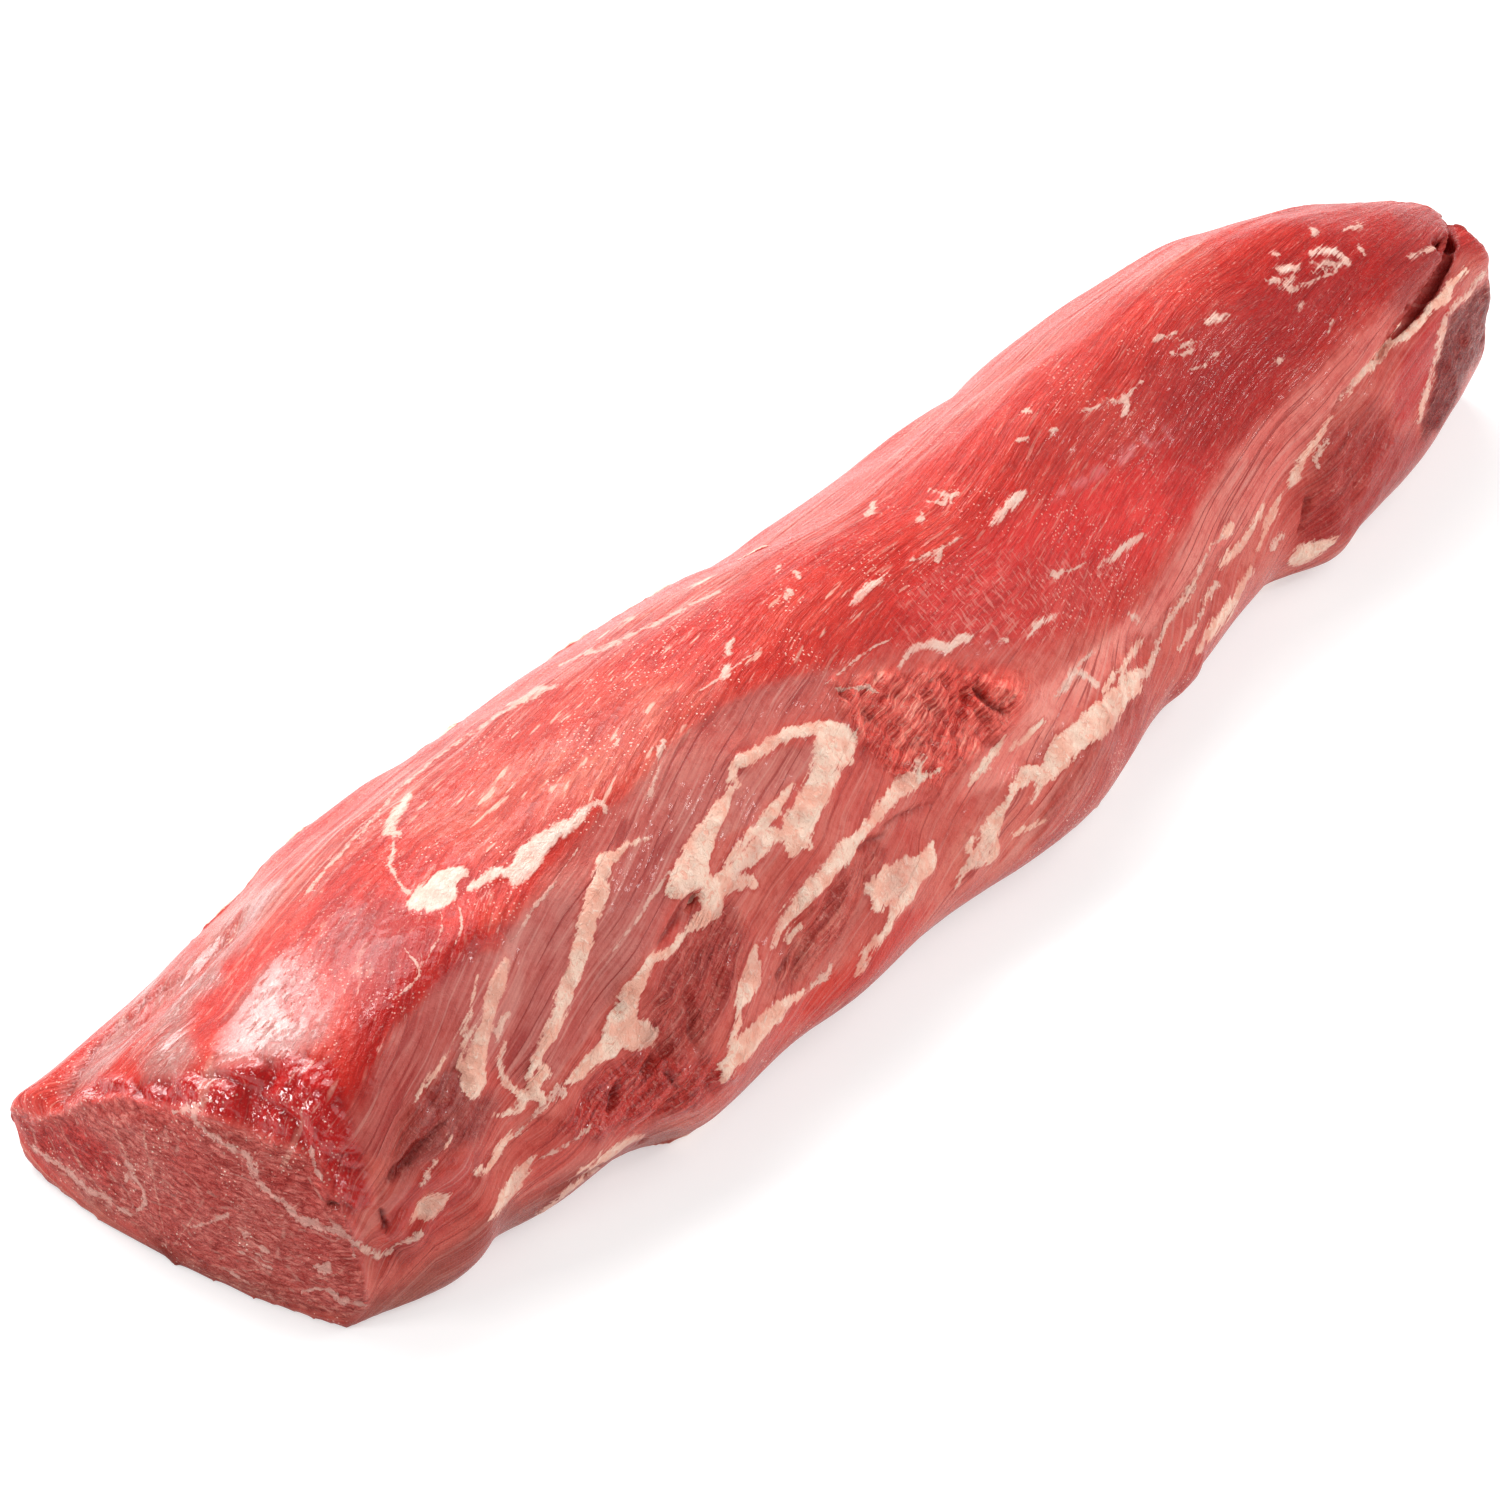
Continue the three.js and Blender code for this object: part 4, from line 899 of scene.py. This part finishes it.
    face_web = 0.65 * zone["near face"] + 0.65 * hidden_end
    values = {"fat": fat, "pink": np.where(on_top, 0.0, 1.0), "thread": thread, "thread_near": thread_near,
              "vein": vein, "vein_near": vein_near, "film": film, "rough": rough, "face": face,
              "gloss": gloss, "veil": veil, "shade": shade, "dashes": dashes, "combed": combed,
              "cross": zone["cross fibres"], "face_web": face_web}
    for name, value in values.items():
        store(mesh, name, "FLOAT", "value", value)
    store(mesh, "fibre", "FLOAT_VECTOR", "vector", fibre)
    store(mesh, "place", "FLOAT_VECTOR", "vector", place)
    store(mesh, "tint", "FLOAT_COLOR", "color", np.column_stack([tint, np.ones(len(tint))]))

    unwrap(mesh, points, squares, normals)
    mesh.polygons.foreach_set("use_smooth", np.ones(len(mesh.polygons), bool))
    mesh.update()
    piece = bpy.data.objects.new("roast", mesh)
    bpy.context.scene.collection.objects.link(piece)
    return piece


def store(mesh, name, kind, key, values):
    mesh.attributes.new(name, kind, "POINT").data.foreach_set(key, values.astype(np.float32).ravel())


def unwrap(mesh, points, squares, normals):
    """Unrolls the surface: the body from a cut along the underside, and each end as a flat piece."""
    x, y, z = points.T / MM
    turn = np.arctan2((z - HALF_HIGH) / HALF_HIGH, y / HALF_WIDE)
    turn = (turn / (2 * math.pi) + 0.25) % 1.0
    corner_turn = turn[squares]
    across_cut = corner_turn.max(axis=1) - corner_turn.min(axis=1) > 0.5
    corner_turn = np.where(across_cut[:, None] & (corner_turn < 0.5), corner_turn + 1, corner_turn)
    u = (x[squares] + SHEET / 2) / SHEET
    v = 0.01 + 0.70 * corner_turn
    ends = (np.abs(normals[squares][:, :, 0]).mean(axis=1) > 0.62) & (np.abs(x[squares]).mean(axis=1) > 160)
    far = x[squares].mean(axis=1) > 0
    flat_u = (y[squares] + 60) / SHEET + np.where(far, 0.50, 0.05)[:, None]
    flat_v = 0.76 + z[squares] / SHEET
    places = np.stack([np.where(ends[:, None], flat_u, u), np.where(ends[:, None], flat_v, v)], axis=-1)
    layer = mesh.uv_layers.new(name="OFBake")
    layer.data.foreach_set("uv", places.astype(np.float32).ravel())


def add_node(tree, kind, inputs=None, **settings):
    node = tree.nodes.new(kind)
    for name, value in settings.items():
        setattr(node, name, value)
    for key, value in (inputs or {}).items():
        if isinstance(value, bpy.types.NodeSocket):
            tree.links.new(value, node.inputs[key])
        else:
            node.inputs[key].default_value = value
    return node


class Shader:
    """Short names for the nodes that the meat's material is built from."""

    def __init__(self, name):
        self.material = bpy.data.materials.new(name)
        self.material.use_nodes = True
        self.tree = self.material.node_tree
        self.principled = self.tree.nodes["Principled BSDF"]

    def stored(self, name, output="Fac"):
        """A value that roast() stored on the mesh."""
        return add_node(self.tree, "ShaderNodeAttribute", attribute_name=name).outputs[output]

    def math(self, operation, a, b=0.0):
        return add_node(self.tree, "ShaderNodeMath", {0: a, 1: b}, operation=operation).outputs[0]

    def product(self, first, *others):
        for other in others:
            first = self.math("MULTIPLY", first, other)
        return first

    def total(self, first, *others):
        for other in others:
            first = self.math("ADD", first, other)
        return first

    def rest(self, value):
        return self.math("SUBTRACT", 1.0, value)

    def stretch(self, vector, by):
        node = add_node(self.tree, "ShaderNodeVectorMath", {0: vector, 1: by}, operation="MULTIPLY")
        return node.outputs[0]

    def noise(self, vector, scale, detail=2.0, roughness=0.5, distortion=0.0):
        inputs = {"Vector": vector, "Scale": scale, "Detail": detail, "Roughness": roughness,
                  "Distortion": distortion}
        return add_node(self.tree, "ShaderNodeTexNoise", inputs).outputs["Fac"]

    def cells(self, vector, scale, feature="F1"):
        inputs = {"Vector": vector, "Scale": scale, "Randomness": 1.0}
        return add_node(self.tree, "ShaderNodeTexVoronoi", inputs, feature=feature).outputs["Distance"]

    def between(self, value, low, high, to_low=0.0, to_high=1.0):
        inputs = {"Value": value, "From Min": low, "From Max": high, "To Min": to_low, "To Max": to_high}
        node = add_node(self.tree, "ShaderNodeMapRange", inputs, interpolation_type="SMOOTHSTEP")
        return node.outputs["Result"]

    def mix(self, factor, a, b, blend="MIX"):
        node = add_node(self.tree, "ShaderNodeMix", data_type="RGBA", blend_type=blend)
        for key, value in ((0, factor), (6, a), (7, b)):
            if isinstance(value, bpy.types.NodeSocket):
                self.tree.links.new(value, node.inputs[key])
            else:
                node.inputs[key].default_value = (*value, 1.0) if isinstance(value, tuple) else value
        return node.outputs[2]

    def times(self, factor, colour, by):
        """The colour, and by as much as factor says the colour multiplied by another."""
        return self.mix(factor, colour, self.mix(1.0, colour, by, "MULTIPLY"))

    def bump(self, height):
        inputs = {"Strength": 0.9, "Distance": BUMP_DEPTH, "Height": height}
        return add_node(self.tree, "ShaderNodeBump", inputs).outputs[0]


def textures(s):
    """What the mesh stores and the textures that more than one part of the material uses."""
    t = SimpleNamespace()
    t.fibre, t.place = s.stored("fibre", "Vector"), s.stored("place", "Vector")
    t.film, t.rough, t.face = s.stored("film"), s.stored("rough"), s.stored("face")
    t.gloss, t.veil, t.combed = s.stored("gloss"), s.stored("veil"), s.stored("combed")
    t.no_film, t.body = s.rest(t.film), s.rest(t.face)
    t.bare = s.product(t.no_film, t.body)
    t.fine = s.noise(s.stretch(t.fibre, (0.09, 1, 1)), 1.3, 2, 0.65)
    t.hair = s.noise(s.stretch(t.fibre, (0.04, 1, 1)), 2.2, 2, 0.65)
    t.broad = s.noise(s.stretch(t.fibre, (0.05, 0.3, 0.3)), 1.0, 2, 0.55, 0.4)
    t.comb = s.noise(s.stretch(t.fibre, (0.025, 1, 1)), 0.9, 2, 0.7)
    t.patches = s.noise(t.place, 0.055, 3, 0.55)
    t.mottle = s.noise(t.place, 0.45, 3, 0.6)
    t.grit = s.noise(t.place, 1.4, 2, 0.65)
    t.grain = s.noise(s.stretch(t.place, (0.6, 0.50, 1.5)), 0.9, 4, 0.75, 0.7)
    t.silk = s.noise(s.stretch(t.fibre, (0.40, 1.2, 1.2)), 1.3, 3, 0.7, 1.2)
    t.crumble = s.noise(t.place, 0.70, 3, 0.7, 0.8)
    return t


def flesh_colour(s, t):
    """The zones' colours with patches, muscle streaks, flakes and dashes of fat, and painted highlights:
    pale streaks and specks that stand in for glints on the wet flesh.
    """
    tint = s.stored("tint", "Color")
    colour = s.times(s.between(t.patches, 0.38, 0.66), tint, (1.05, 1.5, 1.5))
    colour = s.times(s.between(t.mottle, 0.47, 0.66, 0, 0.60), colour, (0.84, 0.55, 0.55))
    colour = s.times(s.product(s.between(t.broad, 0.50, 0.66), t.bare, 0.40), colour, (1.14, 2.1, 2.1))
    colour = s.times(s.product(s.between(t.broad, 0.50, 0.36), t.body, 0.50), colour, (0.82, 0.60, 0.60))
    dark = s.product(s.between(t.fine, 0.52, 0.38), s.total(0.50, s.product(t.rough, 0.5)), t.bare)
    colour = s.times(dark, colour, (0.62, 0.36, 0.36))
    pale = s.product(s.between(t.fine, 0.54, 0.68), s.total(0.20, s.product(t.rough, 0.55)), t.bare)
    colour = s.times(pale, colour, (1.35, 3.0, 3.0))
    colour = s.times(s.product(s.between(t.hair, 0.50, 0.62), t.film, 0.55), colour, (0.80, 0.62, 0.62))
    colour = s.mix(s.product(s.between(t.hair, 0.48, 0.36), t.film, 0.30), colour, (0.62, 0.23, 0.19))

    # Painted highlights: thin pale streaks along the fibres stand in for glints on the wet flesh.
    thin = s.noise(s.stretch(t.fibre, (0.13, 1, 1)), 1.9, 3, 0.7)
    thin = s.product(s.between(thin, 0.60, 0.68), s.between(t.broad, 0.42, 0.60), t.bare, 0.50)
    colour = s.mix(thin, colour, (0.82, 0.42, 0.35))
    # Pale flakes: bits of pale fibre, and partly painted glints of light in the rough flesh.
    flakes = s.product(s.between(t.grit, 0.55, 0.66), t.bare, s.total(0.12, s.product(t.rough, 0.30)))
    colour = s.mix(flakes, colour, (0.74, 0.30, 0.24))
    colour = s.mix(s.product(s.between(t.comb, 0.52, 0.66), t.combed, 0.7), colour, (0.60, 0.27, 0.23))
    colour = s.mix(s.product(s.between(t.comb, 0.46, 0.36), t.combed, 0.8), colour, (0.48, 0.030, 0.022))

    dashes = s.stored("dashes")
    dash = s.between(s.noise(s.stretch(t.fibre, (0.15, 1, 1)), 0.80, 2, 0.5), 0.62, 0.70)
    colour = s.mix(s.product(dash, dashes, 0.9), colour, (0.76, 0.38, 0.29))
    # Painted highlights: tiny pale specks among the dashes stand in for sparkle on the wet surface.
    speck_size = s.between(s.noise(t.place, 0.08, 2), 0.40, 0.58, 0.0, 0.21)
    speck = s.math("LESS_THAN", s.cells(t.place, 1.1), speck_size)
    return s.mix(s.product(speck, s.between(dashes, 0.0, 0.5)), colour, (0.84, 0.46, 0.38))


def lined_colour(s, t, colour):
    """Dark and pale lines in the silverskin, and pale fibres that cross the red flesh."""
    bent = s.stretch(t.fibre, (0.028, 1, 1))
    broken = s.between(s.noise(s.stretch(t.fibre, (0.05, 0.8, 0.8)), 0.55, 2), 0.50, 0.56)
    crack = s.between(s.cells(bent, 0.42, "DISTANCE_TO_EDGE"), 0.055, 0.018)
    t.crack = s.product(crack, broken, s.total(t.film, 0.15))
    colour = s.mix(s.product(t.crack, 0.62), colour, (0.33, 0.028, 0.024))
    light_line = s.between(s.cells(bent, 0.31, "DISTANCE_TO_EDGE"), 0.050, 0.015)
    light_line = s.product(light_line, s.between(broken, 1.0, 0.0), t.film)
    colour = s.mix(s.product(light_line, 0.30), colour, (0.72, 0.36, 0.30))
    cross = s.noise(s.stretch(t.fibre, (1.5, 0.28, 0.28)), 1.0, 3, 0.6)
    cross = s.product(s.between(cross, 0.53, 0.63), s.stored("cross"))
    return s.mix(s.product(cross, 0.60), colour, (0.70, 0.22, 0.18))


def face_colour(s, t, colour):
    """The grain of the cut faces, with a web of fine fat."""
    colour = s.times(s.product(s.between(t.grain, 0.51, 0.60), t.face, 0.80), colour, (1.40, 2.5, 2.5))
    colour = s.times(s.product(s.between(t.grain, 0.49, 0.40), t.face, 0.80), colour, (0.60, 0.30, 0.30))
    web = s.cells(s.stretch(t.place, (0.5, 0.6, 1.3)), 0.12, "DISTANCE_TO_EDGE")
    web = s.product(s.between(web, 0.045, 0.008), s.between(t.mottle, 0.48, 0.62))
    return s.mix(s.product(web, s.stored("face_web")), colour, (0.66, 0.27, 0.22))


def veiled_colour(s, t, colour):
    """Painted sheen on the thin film over the near dome: its pale colour and pale streaks stand in for
    reflected light.
    """
    smear = s.noise(s.stretch(t.fibre, (0.25, 0.8, 0.8)), 0.22, 3, 0.6)
    t.veiled = s.product(t.veil, s.between(smear, 0.38, 0.55, 0.25, 1.0))
    colour = s.mix(s.product(t.veiled, 0.74), colour, (0.47, 0.225, 0.195))
    colour = s.mix(s.product(s.between(t.silk, 0.54, 0.62), t.veil, 0.50), colour, (0.62, 0.40, 0.37))
    return s.mix(s.product(s.between(t.silk, 0.48, 0.40), t.veil, 0.45), colour, (0.42, 0.030, 0.026))


def fatty_colour(s, t, colour):
    """The seams and flecks of fat: crumbly and creamy on the side, smooth and white on top."""
    pink = s.stored("pink")
    mottle_shift = s.product(s.math("SUBTRACT", t.mottle, 0.5), 1.2)
    grit_shift = s.product(s.math("SUBTRACT", t.grit, 0.5), 1.1)
    streak_shift = s.product(s.math("SUBTRACT", t.fine, 0.5), 2.4)
    t.ragged_fat = s.total(s.stored("fat"), s.total(mottle_shift, grit_shift, streak_shift))
    softer = s.total(0.55, s.product(pink, 0.30))
    faded = s.between(s.noise(s.stretch(t.fibre, (0.35, 1, 1)), 0.11, 2, 0.5), 0.38, 0.50, 0.72, 1.0)
    t.fat = s.product(s.between(s.product(t.ragged_fat, softer), -0.16, 0.22), faded)
    # Painted shadow: a thin darker ring on the flesh just outside the fat on the side, in patches.
    rim = s.product(s.between(t.ragged_fat, -1.0, -0.2), s.between(t.patches, 0.48, 0.62, 0.0, 0.7), pink)
    colour = s.times(rim, colour, (0.80, 0.42, 0.42))
    warmer = s.between(s.noise(t.place, 0.16, 3, 0.6), 0.40, 0.60)
    creamy = s.mix(warmer, (0.90, 0.62, 0.49), (0.85, 0.43, 0.32))
    # Pinker in the hollows between the crumbs of fat and whiter on their tops: partly the fat's own colour,
    # partly painted shade and light.
    creamy = s.mix(s.between(t.crumble, 0.46, 0.36, 0, 0.75), creamy, (0.84, 0.36, 0.26))
    creamy = s.mix(s.between(t.crumble, 0.56, 0.68, 0, 0.55), creamy, (0.95, 0.78, 0.66))
    white = s.mix(s.between(t.mottle, 0.35, 0.65), (0.84, 0.62, 0.53), (0.82, 0.49, 0.40))
    edge = s.product(s.between(t.ragged_fat, 0.7, 0.0), 0.45)
    return s.mix(t.fat, colour, s.mix(edge, s.mix(pink, white, creamy), (0.80, 0.36, 0.28)))


def threaded_colour(s, t, colour):
    """Threads of fat on the flesh, veins in the cut face, and painted shade inside grooves and creases."""
    width = s.total(t.mottle, s.product(s.math("SUBTRACT", t.grit, 0.5), 0.8))
    width = s.between(width, 0.35, 0.65, 0.45, 2.1)
    t.lines = []
    for name, sparse, line_colour in (("thread", (0.36, 0.56, 0.15, 0.8), (0.74, 0.42, 0.34)),
                                      ("vein", (0.36, 0.54, 0.35, 0.95), (0.74, 0.36, 0.30))):
        offset = s.math("DIVIDE", s.math("ABSOLUTE", s.stored(name)), width)
        line = s.product(s.between(offset, 1.35, 0.6), s.between(s.stored(name + "_near"), 0.3, 0.6))
        colour = s.mix(s.product(line, s.between(t.mottle, *sparse)), colour, line_colour)
        t.lines.append(line)
    deep = s.product(s.stored("shade"), s.between(t.grit, 0.30, 0.55, 0.95, 0.6))
    deep = s.product(deep, s.rest(s.product(t.fat, 0.7)))
    return s.mix(deep, colour, (0.20, 0.010, 0.008))


def roughness_of(s, t):
    roughness = s.mix(t.film, (0.34, 0.34, 0.34), (0.36, 0.36, 0.36))
    for share, value in ((t.veil, 0.24), (t.gloss, 0.10), (s.between(t.grit, 0.50, 0.62, 0, 0.7), 0.12),
                         (s.product(t.fat, 0.9), 0.46)):
        roughness = s.mix(share, roughness, (value, value, value))
    return roughness


def relief_of(s, t):
    """The finest relief, as a height to bump the surface by."""
    streaks = s.product(t.fine, s.total(0.70, s.product(t.rough, 1.1)), s.rest(s.product(t.film, 0.70)))
    lump = s.product(s.math("SUBTRACT", t.crumble, 0.45), 0.8)
    return s.total(
        streaks,
        s.product(t.broad, 0.45, t.no_film),
        s.product(t.hair, s.product(t.film, -0.30)),
        s.product(t.grain, s.product(t.face, 1.9)),
        s.product(t.crack, -0.18),
        s.product(t.silk, t.veil),
        s.product(s.between(t.ragged_fat, -0.3, 0.8), lump),
        s.product(s.total(*t.lines), 0.10),
        s.product(t.grit, s.math("SUBTRACT", 0.32, s.product(t.gloss, 0.2))),
        s.product(t.mottle, s.total(t.gloss, s.product(t.rough, 2.4))),
        s.product(s.noise(t.place, 3.2, 2, 0.6), 0.14),
        s.product(t.comb, s.product(t.combed, 0.4)),
    )


def wet_relief_of(s, t):
    """The height of the layer of moisture, which is smoother than the meat below it."""
    depth = s.total(0.35, s.product(s.total(t.gloss, t.rough), 1.5))
    wet = s.product(s.noise(t.place, 0.42, 1.5, 0.5), depth)
    combing = s.noise(s.stretch(t.fibre, (0.10, 1, 1)), 0.85, 1.0, 0.5)
    return s.total(wet, s.product(combing, 0.45))


def meat():
    s = Shader("raw beef")
    t = textures(s)
    colour = lined_colour(s, t, flesh_colour(s, t))
    colour = veiled_colour(s, t, face_colour(s, t, colour))
    colour = threaded_colour(s, t, fatty_colour(s, t, colour))
    coat = s.total(0.11, s.product(t.gloss, 0.62), s.product(t.veiled, 0.55))
    coat = s.product(coat, s.rest(s.product(t.face, 0.7)), s.rest(s.product(t.fat, 0.6)))
    links = {"Base Color": colour, "Roughness": roughness_of(s, t), "Normal": s.bump(relief_of(s, t)),
             "Coat Normal": s.bump(wet_relief_of(s, t)), "Coat Weight": coat}
    for name, socket in links.items():
        s.tree.links.new(socket, s.principled.inputs[name])
    for name, value in {"IOR": 1.42, "Specular IOR Level": 0.15, "Coat Roughness": 0.08}.items():
        s.principled.inputs[name].default_value = value
    return s.material


def add_floor():
    mesh = bpy.data.meshes.new("floor")
    corners = [(x * FLOOR_REACH, y * FLOOR_REACH, 0) for x, y in ((-1, -1), (1, -1), (1, 1), (-1, 1))]
    mesh.from_pydata(corners, [], [(0, 1, 2, 3)])
    floor = bpy.data.objects.new("floor", mesh)
    floor.location.z = -0.2 * MM
    bpy.context.scene.collection.objects.link(floor)
    # The floor is grey and glows. This is painted light that makes it read white and lightens the roast's
    # shadow on it.
    material = bpy.data.materials.new("glowing grey floor")
    material.use_nodes = True
    settings = {"Base Color": (0.55, 0.55, 0.55, 1), "Roughness": 0.9, "Specular IOR Level": 0.1,
                "Emission Color": (1, 1, 1, 1), "Emission Strength": 0.52}
    for name, value in settings.items():
        material.node_tree.nodes["Principled BSDF"].inputs[name].default_value = value
    mesh.materials.append(material)


def add_light(name, place, size, power):
    """A flat lamp that points at the roast."""
    light = bpy.data.lights.new(name, "AREA")
    light.shape = "RECTANGLE"
    light.size, light.size_y = size
    light.energy = power
    lamp = bpy.data.objects.new(name, light)
    lamp.location = place
    lamp.rotation_euler = (Vector((0, 0, 0.02)) - Vector(place)).to_track_quat("-Z", "Y").to_euler()
    bpy.context.scene.collection.objects.link(lamp)


def add_studio():
    scene = bpy.context.scene
    scene.view_settings.view_transform = "Standard"
    world = bpy.data.worlds.new("studio")
    world.use_nodes = True
    background = world.node_tree.nodes["Background"]
    background.inputs["Color"].default_value = (1.0, 0.995, 0.99, 1)
    background.inputs["Strength"].default_value = 0.30
    scene.world = world
    add_light("key", (0.36, 1.00, 1.20), (1.8, 1.2), 28.0)
    add_light("back panel", (0.24, 1.10, 0.72), (0.9, 0.36), 8.0)
    add_light("left panel", (-1.00, 0.58, 0.48), (0.42, 0.14), 6.0)
    add_light("front fill", (0.60, -0.95, 1.10), (1.8, 1.2), 14.5)
    add_light("sparkle", (0.05, 0.75, 1.30), (0.14, 0.14), 2.0)
    add_light("side sparkle", (0.75, -0.70, 0.62), (0.12, 0.12), 1.8)


def add_camera():
    camera = bpy.data.objects.new("camera", bpy.data.cameras.new("camera"))
    camera.data.lens = LENS
    camera.data.sensor_width = SENSOR
    back = Vector(camera_back())
    camera.location = Vector(CAMERA_TARGET) + back * CAMERA_DISTANCE
    camera.rotation_euler = back.to_track_quat("Z", "Y").to_euler()
    bpy.context.scene.collection.objects.link(camera)
    bpy.context.scene.camera = camera


piece = roast()
piece.data.materials.clear()
piece.data.materials.append(meat())
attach(piece, "root")
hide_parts("tenderloin")
add_floor()
add_studio()
add_camera()
